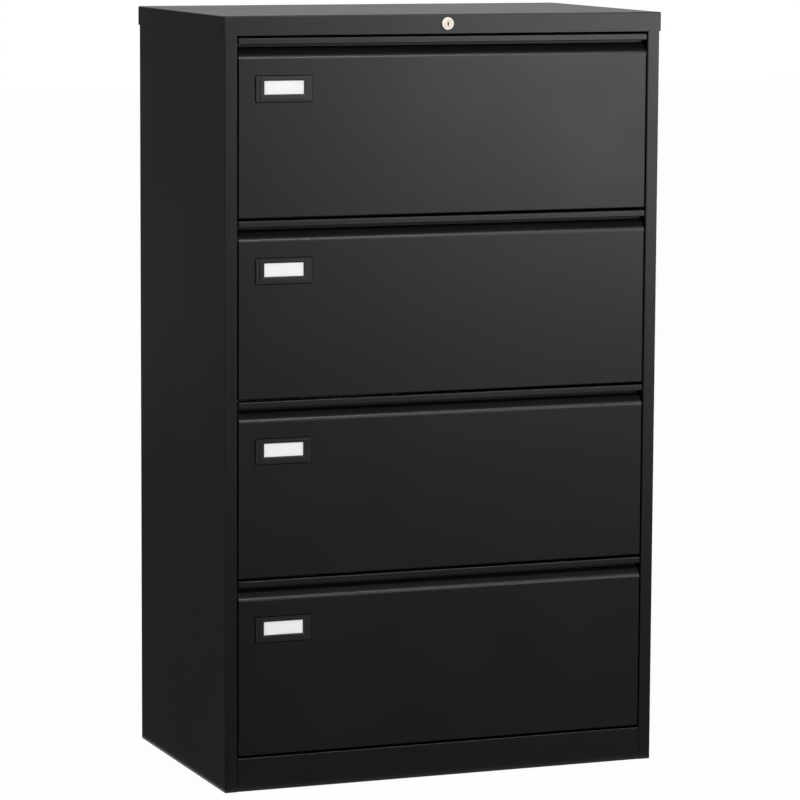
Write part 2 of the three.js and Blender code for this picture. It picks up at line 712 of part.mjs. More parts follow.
const lock = new THREE.Group();
lock.position.set(0, CAP_FRONT, LOCK_Z);
lock.add(piece('lock_barrel', lockBarrel(), nickel), piece('lock_plug', lockPlug(), nickel));
cabinet.add(
  lock,
  piece('lock_rod', lockRod(), zinc),
  piece('locking_bar', lockingBar(), coat),
  piece('lock_bar_guide', lockBarGuide(), coat),
);

for (let number = 1; number <= DRAWERS; number += 1) {
  const drawer = new THREE.Group();
  drawer.position.set(0, FRONT, drawerBottom(number));
  drawer.add(
    piece(`drawer_front_${number}`, drawerFront(), coat),
    piece(`tray_${number}`, drawerTray(), coat),
    piece(`file_rail_front_${number}`, fileRail(TRAY_FRONT + SHEET, 1), zinc),
    piece(`file_rail_rear_${number}`, fileRail(TRAY_BACK - SHEET, -1), zinc),
  );
  const label = new THREE.Group();
  label.position.set(
    LABEL_FROM_EDGE - FRONT_HALF + LABEL_WIDTH / 2,
    0,
    PANEL_TOP - LABEL_DROP - LABEL_HEIGHT / 2,
  );
  label.add(
    piece(`label_holder_${number}`, labelHolder(), bezelPlastic),
    piece(`label_card_${number}`, labelCard(), cardWhite),
  );
  drawer.add(label);
  for (const [handName, hand] of [['left', -1], ['right', 1]]) {
    const slide = new THREE.Group();
    slide.position.set(
      hand * SLIDE_FACE,
      FRONT_DEPTH + SLIDE_SETBACK + SLIDE_LENGTH / 2,
      TRAY_FLOOR + SLIDE_LIFT + SLIDE_HEIGHT / 2,
    );
    slide.rotation.z = hand > 0 ? Math.PI : 0;
    for (const kind of ['outer', 'middle', 'inner']) {
      slide.add(piece(`slide_${kind}_${handName}_${number}`, slideMember(kind), zinc));
    }
    drawer.add(slide);
  }
  cabinet.add(drawer);
}

export default cabinet;
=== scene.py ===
from math import cos, pi, radians, sin, tan

import bpy
from mathutils import Matrix, Vector


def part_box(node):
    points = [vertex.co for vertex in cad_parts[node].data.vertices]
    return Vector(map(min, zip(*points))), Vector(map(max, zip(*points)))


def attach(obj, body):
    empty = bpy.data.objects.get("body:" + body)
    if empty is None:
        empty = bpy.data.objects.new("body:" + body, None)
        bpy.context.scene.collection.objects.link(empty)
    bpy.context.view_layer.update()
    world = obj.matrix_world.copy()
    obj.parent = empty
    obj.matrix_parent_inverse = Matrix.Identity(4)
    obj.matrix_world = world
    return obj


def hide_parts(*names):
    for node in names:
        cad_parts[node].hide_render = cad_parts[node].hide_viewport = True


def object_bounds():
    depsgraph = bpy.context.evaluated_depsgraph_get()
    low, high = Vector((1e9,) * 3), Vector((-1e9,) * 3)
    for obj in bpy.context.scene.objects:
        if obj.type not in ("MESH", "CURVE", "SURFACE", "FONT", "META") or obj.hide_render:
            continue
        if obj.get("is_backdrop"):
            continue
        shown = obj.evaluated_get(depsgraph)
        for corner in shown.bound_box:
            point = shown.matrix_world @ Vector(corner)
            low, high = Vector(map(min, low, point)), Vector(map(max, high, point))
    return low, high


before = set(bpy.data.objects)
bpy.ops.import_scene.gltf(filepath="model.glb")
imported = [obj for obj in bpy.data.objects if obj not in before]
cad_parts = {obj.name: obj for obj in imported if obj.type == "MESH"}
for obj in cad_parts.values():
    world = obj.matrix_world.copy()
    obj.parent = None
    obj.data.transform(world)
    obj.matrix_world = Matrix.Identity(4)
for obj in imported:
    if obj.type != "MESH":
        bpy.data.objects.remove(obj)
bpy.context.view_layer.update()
MM = 0.001


# Studio: a white floor and backdrop, a soft box on the right in front of the cabinet, a large fill
# farther off on the left, a bank above the front, and grey flags and a bright strip that the dark faces
# mirror. The camera stands to the left, a little above the top.
CAMERA_PLACE = Vector((-2.571, -6.599, 1.579))
CAMERA_YAW = radians(21.35)
CAMERA_PITCH = radians(7.63)
CAMERA_ROLL = radians(0.31)
CAMERA_LENS = 181.3
CAMERA_REACH = 100
FLOOR_SPAN = 40
FLOOR_GREY = 0.9
FLOOR_WHITE = 0.97
WHITE = (1, 1, 1, 1)
WORLD_FILL = 0.46
SIDE_FLAG = 0.115
FRONT_FLAG = 0.21
REAR_FLAG = 0.42
OVER_FLAG = 0.08
FLAG_LIFT = 0.002
BEND_STRIP = 20
STRIP_TILT = (radians(60), 0, 0)
FACING_X = (0, pi / 2, 0)
FACING_Y = (pi / 2, 0, 0)
FACING_Z = (0, 0, 0)

camera_data = bpy.data.cameras.new("studio_camera")
camera_data.lens = CAMERA_LENS
camera_data.clip_end = CAMERA_REACH
camera = bpy.data.objects.new("studio_camera", camera_data)
bpy.context.scene.collection.objects.link(camera)
camera_turn = Matrix.Rotation(-CAMERA_YAW, 4, "Z") @ Matrix.Rotation(pi / 2 - CAMERA_PITCH, 4, "X")
camera.matrix_world = Matrix.Translation(CAMERA_PLACE) @ camera_turn @ Matrix.Rotation(CAMERA_ROLL, 4, "Z")
bpy.context.scene.camera = camera
bpy.context.scene.view_settings.view_transform = "Standard"


def soft_box(name, place, aim, width, height, watts):
    data = bpy.data.lights.new(name, "AREA")
    data.shape = "RECTANGLE"
    data.size = width
    data.size_y = height
    data.energy = watts
    lamp = bpy.data.objects.new(name, data)
    lamp.location = place
    lamp.rotation_euler = (Vector(aim) - Vector(place)).to_track_quat("-Z", "Y").to_euler()
    bpy.context.scene.collection.objects.link(lamp)


soft_box("key_box", place=(1.81, -3.2, 1.3), aim=(0.2, -0.2, 0.95), width=1.0, height=0.9, watts=39)
soft_box("fill_box", place=(-3.6, -4.6, 2.6), aim=(0, 0, 0.7), width=2.0, height=2.0, watts=90)
soft_box("top_bank", place=(0.2, -2.0, 2.4), aim=(-0.2, -0.23, 1.1), width=0.9, height=0.35, watts=5)


def set_inputs(node, values):
    for socket, value in dict(values).items():
        node.inputs[socket].default_value = value


def add_node(tree, kind, values=()):
    """A shader node of one kind in a node tree, with values for some of its sockets."""
    node = tree.nodes.new(f"ShaderNode{kind}")
    set_inputs(node, values)
    return node


def wire(source, output, target, socket):
    source.id_data.links.new(source.outputs[output], target.inputs[socket])


def new_material(name, values=()):
    """A material, and its Principled shader with values for some of its sockets."""
    material = bpy.data.materials.new(name)
    material.use_nodes = True
    shader = material.node_tree.nodes["Principled BSDF"]
    set_inputs(shader, values)
    return material, shader


def background_share(tree):
    """One where a ray shows the background: seen by the camera, mirrored, or through clear plastic."""
    path = add_node(tree, "LightPath")
    mirrored = add_node(tree, "Math")
    mirrored.operation = "MAXIMUM"
    seen = add_node(tree, "Math")
    seen.operation = "MAXIMUM"
    wire(path, "Is Glossy Ray", mirrored, 0)
    wire(path, "Is Transmission Ray", mirrored, 1)
    wire(path, "Is Camera Ray", seen, 0)
    wire(mirrored, "Value", seen, 1)
    return seen


world = bpy.data.worlds.new("pale_studio")
bpy.context.scene.world = world
world.use_nodes = True
world_tree = world.node_tree
world_tree.nodes.clear()
world_out = add_node(world_tree, "OutputWorld")
world_seen = add_node(world_tree, "Background", {"Color": WHITE, "Strength": 1.0})
world_fill = add_node(world_tree, "Background", {"Color": WHITE, "Strength": WORLD_FILL})
world_mix = add_node(world_tree, "MixShader")
wire(background_share(world_tree), "Value", world_mix, "Fac")
wire(world_fill, "Background", world_mix, 1)
wire(world_seen, "Background", world_mix, 2)
wire(world_mix, "Shader", world_out, "Surface")


def deselect():
    bpy.ops.object.select_all(action="DESELECT")


def settled(name, scale=(1, 1, 1)):
    """Names the object just added, and takes its place, turn and scale into its mesh."""
    piece = bpy.context.object
    piece.name = name
    piece.scale = scale
    bpy.ops.object.transform_apply(location=True, rotation=True, scale=True)
    return piece


deselect()
bpy.ops.mesh.primitive_plane_add(size=FLOOR_SPAN)
floor = settled("studio_floor")
floor_tone = (FLOOR_GREY, FLOOR_GREY, FLOOR_GREY, 1)
floor_values = {"Base Color": floor_tone, "Roughness": 0.9, "Specular IOR Level": 0.1}
floor_paint, floor_shader = new_material("pale_floor", floor_values)
floor_tree = floor_paint.node_tree
floor_white = add_node(floor_tree, "Emission", {"Strength": 1.0})
floor_blend = add_node(floor_tree, "Math", {1: FLOOR_WHITE})
floor_blend.operation = "MULTIPLY"
floor_mix = add_node(floor_tree, "MixShader")
wire(background_share(floor_tree), "Value", floor_blend, 0)
wire(floor_blend, "Value", floor_mix, "Fac")
wire(floor_shader, "BSDF", floor_mix, 1)
wire(floor_white, "Emission", floor_mix, 2)
wire(floor_mix, "Shader", floor_tree.nodes["Material Output"], "Surface")
floor.data.materials.append(floor_paint)
floor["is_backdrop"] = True


def grey_flag(name, place, turn, size, grey):
    """A flat cloth or a strip that only shows in reflections, in an even grey or brighter than white."""
    deselect()
    bpy.ops.mesh.primitive_plane_add(size=1, location=place, rotation=turn)
    flag = settled(name, (*size, 1))
    cloth, shader = new_material(name)
    tree = cloth.node_tree
    tree.nodes.remove(shader)
    tone = add_node(tree, "Emission", {"Color": (grey, grey, grey, 1)})
    wire(tone, "Emission", tree.nodes["Material Output"], "Surface")
    flag.data.materials.append(cloth)
    flag.visible_camera = False
    flag.visible_diffuse = False
    flag.visible_shadow = False
    flag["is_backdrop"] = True


grey_flag("side_flag", (-1.2, 2.3, 1.1), FACING_X, size=(2.2, 6.0), grey=SIDE_FLAG)
grey_flag("side_floor_flag", (-0.8, 2.3, FLAG_LIFT), FACING_Z, size=(0.8, 6.0), grey=SIDE_FLAG)
grey_flag("front_flag", (2.5, -5.2, 1.6), FACING_Y, size=(8.0, 3.2), grey=FRONT_FLAG)
grey_flag("front_floor_flag", (2.5, -2.72, FLAG_LIFT), FACING_Z, size=(8.0, 4.96), grey=FRONT_FLAG)
grey_flag("rear_flag", (3.0, 7.0, 1.5), FACING_Y, size=(12.0, 3.0), grey=REAR_FLAG)
grey_flag("over_flag", (2.5, -3.2, 3.2), FACING_Z, size=(8.0, 4.0), grey=OVER_FLAG)
grey_flag("bend_strip", (0.6, -2.1, 2.47), STRIP_TILT, size=(1.75, 0.37), grey=BEND_STRIP)


# Side panels: one sheet each, folded in the press into a front stile and a rear flange whose
# edges return into the cabinet, where the drawer slides are fastened. Black powder coat all over.
SHEET = 1.0 * MM
HALF_SHEET = SHEET / 2
FOLD_SETBACK = 1.5 * MM
FOLD_STEPS = 5
STILE = 22 * MM
STILE_RETURN = 40 * MM
COAT_DARK = (0.0014, 0.00145, 0.0016, 1)
COAT_LIGHT = (0.0026, 0.00265, 0.0028, 1)
SMOOTH_ANGLE = radians(32)
SQUARE_FOLD = radians(60)
COORDINATE_SLACK = 0.02 * MM
X, Y, Z = range(3)
STRAIGHT_SHARE = 0.99
FLAT_FACE_WEIGHT = 100
GRAIN_DEPTH = 0.1 * MM
FINISH_INPUTS = {"Dark": "Color", "Light": "Color", "Smooth": "Float", "Dull": "Float"}
FINISH_OUTPUTS = {"Tint": "Color", "Roughness": "Float", "Height": "Float"}


def finish_group(name, more_inputs=()):
    """A node group that mixes two tints and two roughnesses: itself, its ends and its two mixers."""
    group = bpy.data.node_groups.new(name, "ShaderNodeTree")
    for way, sockets in (("INPUT", {**dict(more_inputs), **FINISH_INPUTS}), ("OUTPUT", FINISH_OUTPUTS)):
        for label, kind in sockets.items():
            group.interface.new_socket(label, in_out=way, socket_type=f"NodeSocket{kind}")
    given = group.nodes.new("NodeGroupInput")
    made = group.nodes.new("NodeGroupOutput")
    tint = add_node(group, "Mix")
    tint.data_type = "RGBA"
    dull = add_node(group, "MapRange", {"From Min": 0.3, "From Max": 0.7})
    wire(given, "Dark", tint, "A")
    wire(given, "Light", tint, "B")
    wire(given, "Smooth", dull, "To Min")
    wire(given, "Dull", dull, "To Max")
    wire(tint, "Result", made, "Tint")
    wire(dull, "Result", made, "Roughness")
    return group, given, made, tint, dull


def coat_grain_group():
    """Fine orange-peel of powder coat: a tint, a roughness and a height that vary over the surface."""
    group, _, made, tint, dull = finish_group("powder_coat_grain")
    place = add_node(group, "TexCoord")
    grain = add_node(group, "TexNoise", {"Scale": 900, "Detail": 3, "Roughness": 0.6})
    cloud = add_node(group, "TexNoise", {"Scale": 7, "Detail": 4})
    speck = add_node(group, "Mix", {"Factor": 0.4})
    wire(place, "Object", grain, "Vector")
    wire(place, "Object", cloud, "Vector")
    wire(cloud, "Fac", speck, "A")
    wire(grain, "Fac", speck, "B")
    wire(speck, "Result", tint, "Factor")
    wire(speck, "Result", dull, "Value")
    wire(grain, "Fac", made, "Height")
    return group


COAT_GRAIN = coat_grain_group()


def group_material(name, group, group_values, shader_values, bump, depth):
    """A material whose tint, roughness and relief come from a node group, and that group's node."""
    material, shader = new_material(name, shader_values)
    grain = add_node(material.node_tree, "Group")
    grain.node_tree = group
    set_inputs(grain, group_values)
    relief = add_node(material.node_tree, "Bump", {"Strength": bump, "Distance": depth})
    wire(grain, "Tint", shader, "Base Color")
    wire(grain, "Roughness", shader, "Roughness")
    wire(grain, "Height", relief, "Height")
    wire(relief, "Normal", shader, "Normal")
    return material, grain


def grained_finish(name, dark, light, smooth, dull, specular, bump):
    """A matt or satin finish with the fine grain: a powder coat, moulded plastic, card, or near-black
    painted shade.
    """
    values = {"Dark": dark, "Light": light, "Smooth": smooth, "Dull": dull}
    shader_values = {"Specular IOR Level": specular}
    paint, _ = group_material(name, COAT_GRAIN, values, shader_values, bump, GRAIN_DEPTH)
    return paint


black_coat = grained_finish(
    "black_powder_coat", COAT_DARK, COAT_LIGHT, smooth=0.35, dull=0.41, specular=0.3, bump=0.1
)


def take(piece):
    deselect()
    bpy.context.view_layer.objects.active = piece
    piece.select_set(True)


def open_edit():
    bpy.ops.object.mode_set(mode="EDIT")


def close_edit():
    bpy.ops.object.mode_set(mode="OBJECT")


def edit_all(piece):
    """Opens a piece for editing with everything selected."""
    take(piece)
    open_edit()
    bpy.ops.mesh.select_all(action="SELECT")


def edit_none(piece, kind):
    """Opens a piece for editing its corners, edges or faces, with nothing selected."""
    take(piece)
    open_edit()
    bpy.ops.mesh.select_mode(type=kind)
    bpy.ops.mesh.select_all(action="DESELECT")


def near(value, goal):
    return abs(value - goal) < COORDINATE_SLACK


def flat_sheet(name, low, high):
    """The flat blank of a folded sheet: a plane over the rectangle between two corners."""
    size = Vector(high) - Vector(low)
    thin = min(range(3), key=lambda axis: abs(size[axis]))
    turn = (FACING_X, FACING_Y, FACING_Z)[thin]
    deselect()
    bpy.ops.mesh.primitive_plane_add(size=1, location=(Vector(low) + Vector(high)) / 2, rotation=turn)
    return settled(name, ((size.z, size.y, 1), (size.x, size.z, 1), (size.x, size.y, 1))[thin])


def select_edges(piece, test, along=None):
    """Selects the edges whose two ends pass the test, and that run along one axis if it is given."""
    edit_none(piece, "EDGE")
    close_edit()
    corners = piece.data.vertices
    for edge in piece.data.edges:
        first, last = (corners[i].co for i in edge.vertices)
        run = last - first
        straight = along is None or abs(run[along]) > STRAIGHT_SHARE * run.length
        edge.select = straight and test(first) and test(last)
    open_edit()


def draw_out(step):
    bpy.ops.mesh.extrude_region_move(TRANSFORM_OT_translate={"value": Vector(step)})


def fold_out(piece, test, legs, along=None):
    """Draws the selected edges out leg by leg, as the press folds a flange."""
    select_edges(piece, test, along)
    for leg in legs:
        draw_out(leg)
    close_edit()


def weld_corners(piece):
    """Merges doubled corners and turns all faces the same way out."""
    edit_all(piece)
    bpy.ops.mesh.remove_doubles(threshold=COORDINATE_SLACK / 2)
    bpy.ops.mesh.normals_make_consistent(inside=False)
    close_edit()


def bevel_selected(setback, steps, clamp=False):
    """Rounds the selected edges and ends the editing."""
    bpy.ops.mesh.bevel(
        offset=setback, offset_type="OFFSET", segments=steps, affect="EDGES", clamp_overlap=clamp
    )
    close_edit()


def round_folds(piece, setback, steps=FOLD_STEPS):
    """Rounds every square fold line of a blank, as the press leaves it."""
    weld_corners(piece)
    edit_none(piece, "EDGE")
    bpy.ops.mesh.edges_select_sharp(sharpness=SQUARE_FOLD)
    bevel_selected(setback, steps)


def apply_modifiers(piece):
    take(piece)
    for modifier in list(piece.modifiers):
        bpy.ops.object.modifier_apply(modifier=modifier.name)


def smooth_over(piece):
    """Shades rounded folds smoothly, with normals weighted so that flat faces stay flat."""
    take(piece)
    bpy.ops.object.shade_smooth_by_angle(angle=SMOOTH_ANGLE)
    even = piece.modifiers.new("flat_faces", "WEIGHTED_NORMAL")
    even.mode = "FACE_AREA"
    even.weight = FLAT_FACE_WEIGHT
    even.keep_sharp = True
    apply_modifiers(piece)


def thicken(piece, thickness=SHEET, offset=0):
    """Gives a folded blank its sheet thickness, half on each side unless an offset says otherwise."""
    weld_corners(piece)
    wall = piece.modifiers.new("wall", "SOLIDIFY")
    wall.thickness = thickness
    wall.offset = offset
    wall.use_even_offset = True
    apply_modifiers(piece)
    smooth_over(piece)


def finish_piece(piece, material, body, slot, *nodes):
    piece.data.materials.clear()
    piece.data.materials.append(material)
    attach(piece, body)
    if nodes:
        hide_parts(*nodes)


for hand, side in ((-1, "left"), (1, "right")):
    low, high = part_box(f"side_panel_{side}")
    skin = (low.x if hand < 0 else high.x) - hand * HALF_SHEET
    inner = skin - hand * (STILE - SHEET)
    inward = Vector((inner - skin, 0, 0))
    front = low.y + HALF_SHEET
    back = high.y - HALF_SHEET
    panel = flat_sheet(f"{side}_side_sheet", (skin, front, low.z), (skin, back, high.z))
    fold_out(panel, lambda v: near(v.y, front), (inward, (0, STILE_RETURN - HALF_SHEET, 0)))
    fold_out(panel, lambda v: near(v.y, back), (inward, (0, HALF_SHEET - STILE_RETURN, 0)))
    round_folds(panel, FOLD_SETBACK)
    thicken(panel)
    finish_piece(panel, black_coat, "carcass", "black_powder_coat", f"side_panel_{side}")


# Back panel: a flat sheet between the side panels, its two upright edges folded forward and
# riveted to the side panels' flanges. Black powder coat.
low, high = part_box("back_panel")
back = high.y - HALF_SHEET
left, right = low.x + HALF_SHEET, high.x - HALF_SHEET
rear_sheet = flat_sheet("rear_sheet", (left, back, low.z), (right, back, high.z))
for x in (left, right):
    fold_out(rear_sheet, lambda v: near(v.x, x), ((0, low.y - back, 0),))
round_folds(rear_sheet, FOLD_SETBACK)
thicken(rear_sheet)
finish_piece(rear_sheet, black_coat, "carcass", "black_powder_coat", "back_panel")


# Base pan: the floor of the carcass behind the plinth, one sheet with its four edges turned down
# and its corners welded. Black powder coat.
PAN_EDGE = 1.6 * MM
FACING_SHARE = 0.5


def block_between(name, low, high):
    """A block primitive between two corners, to be shaped further."""
    deselect()
    bpy.ops.mesh.primitive_cube_add(size=1, location=(Vector(low) + Vector(high)) / 2)
    return settled(name, Vector(high) - Vector(low))


def select_faces(piece, test):
    """Selects the faces whose middle and normal pass the test, and leaves the piece in edit mode."""
    edit_none(piece, "FACE")
    close_edit()
    for face in piece.data.polygons:
        face.select = test(face.center, face.normal)
    open_edit()


def pressed_pan(name, low, high, is_open, edge_radius):
    """A pan from a block: its open sides are taken off and the folds that are left are rounded."""
    pan = block_between(name, low, high)
    select_faces(pan, lambda middle, normal: is_open(normal))
    bpy.ops.mesh.delete(type="FACE")
    close_edit()
    round_folds(pan, edge_radius)
    return pan


low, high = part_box("base_pan")
base_floor = pressed_pan("base_floor", low, high, lambda normal: normal.z < -FACING_SHARE, PAN_EDGE)
thicken(base_floor, offset=-1)
finish_piece(base_floor, black_coat, "carcass", "black_powder_coat", "base_pan")


# Plinth: a shallow pan between the stiles under the bottom drawer, its four edges turned back. Black
# powder coat, spot welded to the side panels.
PLINTH_SEAM = 0.45 * MM

low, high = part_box("plinth")
seam = Vector((PLINTH_SEAM, 0, 0))
kick_plate = pressed_pan(
    "kick_plate", low - seam, high + seam, lambda normal: normal.y > FACING_SHARE, FOLD_SETBACK
)
thicken(kick_plate, offset=-1)
finish_piece(kick_plate, black_coat, "carcass", "black_powder_coat", "plinth")


# Front top rail: the channel behind the cap's skirt that ties the side panels together. A round
# hole in its web takes the neck of the lock. Black powder coat.
LOCK_HOLE = 9.6 * MM
LOCK_HOLE_SIDES = 48


def channel_across(name, low, high):
    """A channel with its web in front and its two flanges turned back."""
    front = low.y + HALF_SHEET
    bottom = low.z + HALF_SHEET
    top = high.z - HALF_SHEET
    channel = flat_sheet(name, (low.x, front, bottom), (high.x, front, top))
    for z in (bottom, top):
        fold_out(channel, lambda v: near(v.z, z), ((0, high.y - front, 0),))
    round_folds(channel, FOLD_SETBACK)
    thicken(channel)
    return channel


def bore_along_y(piece, centre, radius, length):
    deselect()
    bpy.ops.mesh.primitive_cylinder_add(
        vertices=LOCK_HOLE_SIDES, radius=radius, depth=length, location=centre, rotation=FACING_Y
    )
    cut_with(piece, settled("drill"))


def cut_with(piece, tool):
    hole = piece.modifiers.new("hole", "BOOLEAN")
    hole.operation = "DIFFERENCE"
    hole.solver = "EXACT"
    hole.object = tool
    apply_modifiers(piece)
    take(tool)
    bpy.ops.object.delete()
    take(piece)


barrel_low, barrel_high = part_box("lock_barrel")
lock_centre = Vector((0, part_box("top_cover")[0].y, (barrel_low.z + barrel_high.z) / 2))
low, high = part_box("front_top_rail")
head_rail = channel_across("head_rail", low, high)
bore_along_y(head_rail, lock_centre, LOCK_HOLE, high.y - low.y)
finish_piece(head_rail, black_coat, "carcass", "black_powder_coat", "front_top_rail")


# Top cover: a pan pressed from one sheet and set over the carcass, with a skirt at the front and
# sides. Its front skirt has a round hole for the lock. Black powder coat.
CAP_SHEET = 1.2 * MM
CAP_EDGE = 2.2 * MM
CAP_BORE = 20 * MM

low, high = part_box("top_cover")
cap = pressed_pan(
    "cap", low, high, lambda normal: normal.z < -FACING_SHARE or normal.y > FACING_SHARE, CAP_EDGE
)
thicken(cap, CAP_SHEET, offset=-1)
bore_along_y(cap, lock_centre, LOCK_HOLE, CAP_BORE)
smooth_over(cap)
finish_piece(cap, black_coat, "carcass", "black_powder_coat", "top_cover")


# Lock barrel: a turned and plated brass body with a domed head outside the skirt and a neck through
# skirt and rail, where a nut holds it. Satin nickel.
LOCK_SIDES = 64
LOCK_PROUD = 4 * MM
LOCK_HEAD = 11.4 * MM
LOCK_FACE = 9.6 * MM
LOCK_DOME = 2.4 * MM
LOCK_DOME_STEPS = 7
LOCK_NECK = 9.3 * MM
LOCK_LENGTH = 24 * MM
LOCK_BORE = 6.3 * MM
LOCK_LIFT = 0.3 * MM
NICKEL_DARK = (0.49, 0.447, 0.405, 1)
NICKEL_LIGHT = (0.612, 0.565, 0.513, 1)
NICKEL_STREAKS = (900, 300, 900)
STREAK_DEPTH = 0.05 * MM


def streak_group():
    """Streaks left by rolling or brushing: a tint, a roughness and a height along the given space."""
    group, given, made, tint, dull = finish_group("metal_streaks", {"Place": "Vector"})
    streak = add_node(group, "TexNoise", {"Scale": 1, "Detail": 4, "Roughness": 0.55})
    place = add_node(group, "TexCoord")
    stain = add_node(group, "TexNoise", {"Scale": 45, "Detail": 3})
    wire(given, "Place", streak, "Vector")
    wire(place, "Object", stain, "Vector")
    wire(stain, "Fac", tint, "Factor")
    wire(streak, "Fac", dull, "Value")
    wire(streak, "Fac", made, "Height")
    return group


METAL_STREAKS = streak_group()


def streaked_metal(name, dark, light, smooth, dull, stretch, bump):
    """A plated metal whose streaks run along the axis with the smallest stretch."""
    values = {"Dark": dark, "Light": light, "Smooth": smooth, "Dull": dull}
    metal, streaks = group_material(name, METAL_STREAKS, values, {"Metallic": 1.0}, bump, STREAK_DEPTH)
    place = add_node(metal.node_tree, "TexCoord")
    mapping = add_node(metal.node_tree, "Mapping", {"Scale": stretch})
    wire(place, "Object", mapping, "Vector")
    wire(mapping, "Vector", streaks, "Place")
    return metal


satin_nickel = streaked_metal(
    "satin_nickel", NICKEL_DARK, NICKEL_LIGHT, smooth=0.5, dull=0.6, stretch=NICKEL_STREAKS, bump=0.1
)


def widen(share_x, share_z, about):
    bpy.ops.transform.resize(value=(share_x, 1, share_z), center_override=about)


def turned(name, centre, rings, sides=LOCK_SIDES):
    """A piece turned about a line along Y: each ring is a radius and a distance behind the centre."""
    radius, depth = rings[0]
    deselect()
    bpy.ops.mesh.primitive_circle_add(
        vertices=sides, radius=radius, location=centre + Vector((0, depth, 0)), rotation=FACING_Y
    )
    piece = settled(name)
    edit_none(piece, "EDGE")
    bpy.ops.mesh.select_all(action="SELECT")
    for next_radius, next_depth in rings[1:]:
        draw_out((0, next_depth - depth, 0))
        widen(next_radius / radius, next_radius / radius, centre)
        radius, depth = next_radius, next_depth
    bpy.ops.mesh.select_all(action="SELECT")
    bpy.ops.mesh.remove_doubles(threshold=COORDINATE_SLACK / 2)
    bpy.ops.mesh.fill_holes(sides=0)
    bpy.ops.mesh.select_all(action="SELECT")
    bpy.ops.mesh.normals_make_consistent(inside=False)
    close_edit()
    smooth_over(piece)
    return piece


dome_rings = []
for step in range(LOCK_DOME_STEPS + 1):
    swing = pi / 2 * step / LOCK_DOME_STEPS
    dome_radius = LOCK_FACE + (LOCK_HEAD - LOCK_FACE) * sin(swing)
    dome_rings.append((dome_radius, -LOCK_PROUD + LOCK_DOME * (1 - cos(swing))))
barrel_rings = [
    (LOCK_BORE, -LOCK_PROUD + LOCK_LIFT),
    (LOCK_BORE + LOCK_LIFT, -LOCK_PROUD),
    *dome_rings,
    (LOCK_HEAD, -LOCK_LIFT),
    (LOCK_NECK, -LOCK_LIFT),
    (LOCK_NECK, LOCK_LENGTH),
    (LOCK_BORE, LOCK_LENGTH),
    (LOCK_BORE, -LOCK_PROUD + LOCK_LIFT),
]
barrel = turned("lock_head", lock_centre, barrel_rings)
finish_piece(barrel, satin_nickel, "carcass", "nickel", "lock_barrel")


# Lock nut: a hexagon nut on the barrel's neck, tight against the back of the top rail. Satin nickel.
NUT_REACH = 12.8 * MM
NUT_THICKNESS = 4 * MM
NUT_GAP = 0.1 * MM
NUT_CHAMFER = 0.6 * MM
NUT_SIDES = 6

nut_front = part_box("front_top_rail")[0].y + SHEET + NUT_GAP - lock_centre.y
nut_back = nut_front + NUT_THICKNESS
nut_rings = [
    (NUT_REACH - NUT_CHAMFER, nut_front),
    (NUT_REACH, nut_front + NUT_CHAMFER / 2),
    (NUT_REACH, nut_back - NUT_CHAMFER / 2),
    (NUT_REACH - NUT_CHAMFER, nut_back),
]
nut = turned("lock_nut", lock_centre, nut_rings, NUT_SIDES)
bore_along_y(nut, lock_centre, LOCK_NECK + NUT_GAP / 2, LOCK_LENGTH * 2)
smooth_over(nut)
finish_piece(nut, satin_nickel, "carcass", "nickel")


# Lock plug: the part that turns with the key inside the barrel, a turned pin with an upright keyway.
# Satin nickel, held by the rod at its rear end.
PLUG = 6 * MM
PLUG_SUNK = 0.3 * MM
KEYWAY_WIDTH = 2.7 * MM
KEYWAY_HEIGHT = 7.4 * MM
KEYWAY_DEPTH = 16 * MM
KEYWAY_ROUND = 0.9 * MM


def round_edges(piece, test, setback, along=None, steps=FOLD_STEPS):
    """Rounds only the edges whose ends pass the test."""
    select_edges(piece, test, along)
    bevel_selected(setback, steps)


def rounded_block(name, low, high, corner, along=Y):
    """A block between two corners, with its four edges along one axis rounded."""
    block = block_between(name, low, high)
    round_edges(block, lambda v: True, corner, along)
    return block


plug_face = -LOCK_PROUD + PLUG_SUNK
plug_rings = [
    (PLUG - PLUG_SUNK, plug_face),
    (PLUG, plug_face + PLUG_SUNK),
    (PLUG, LOCK_LENGTH + LOCK_LIFT),
]
plug = turned("key_plug", lock_centre, plug_rings)
slot_middle = lock_centre + Vector((0, plug_face, 0))
slot_reach = Vector((KEYWAY_WIDTH / 2, KEYWAY_DEPTH, KEYWAY_HEIGHT / 2))
key_slot = rounded_block("key_slot", slot_middle - slot_reach, slot_middle + slot_reach, KEYWAY_ROUND)
cut_with(plug, key_slot)
smooth_over(plug)
finish_piece(plug, satin_nickel, "lock", "nickel", "lock_plug")


# Keyway shade: a small plate of near-black plastic just inside the keyway, which paints the
# shade of the deep keyway. It sits in the plug and turns with it.
KEYWAY_SHADE_SUNK = 0.4 * MM
KEYWAY_SHADE_THICKNESS = 0.8 * MM
KEYWAY_SHADE_GAP = 0.05 * MM
SHADE_BLACK_DARK = (0.0012, 0.0012, 0.0013, 1)
SHADE_BLACK_LIGHT = (0.002, 0.002, 0.0021, 1)

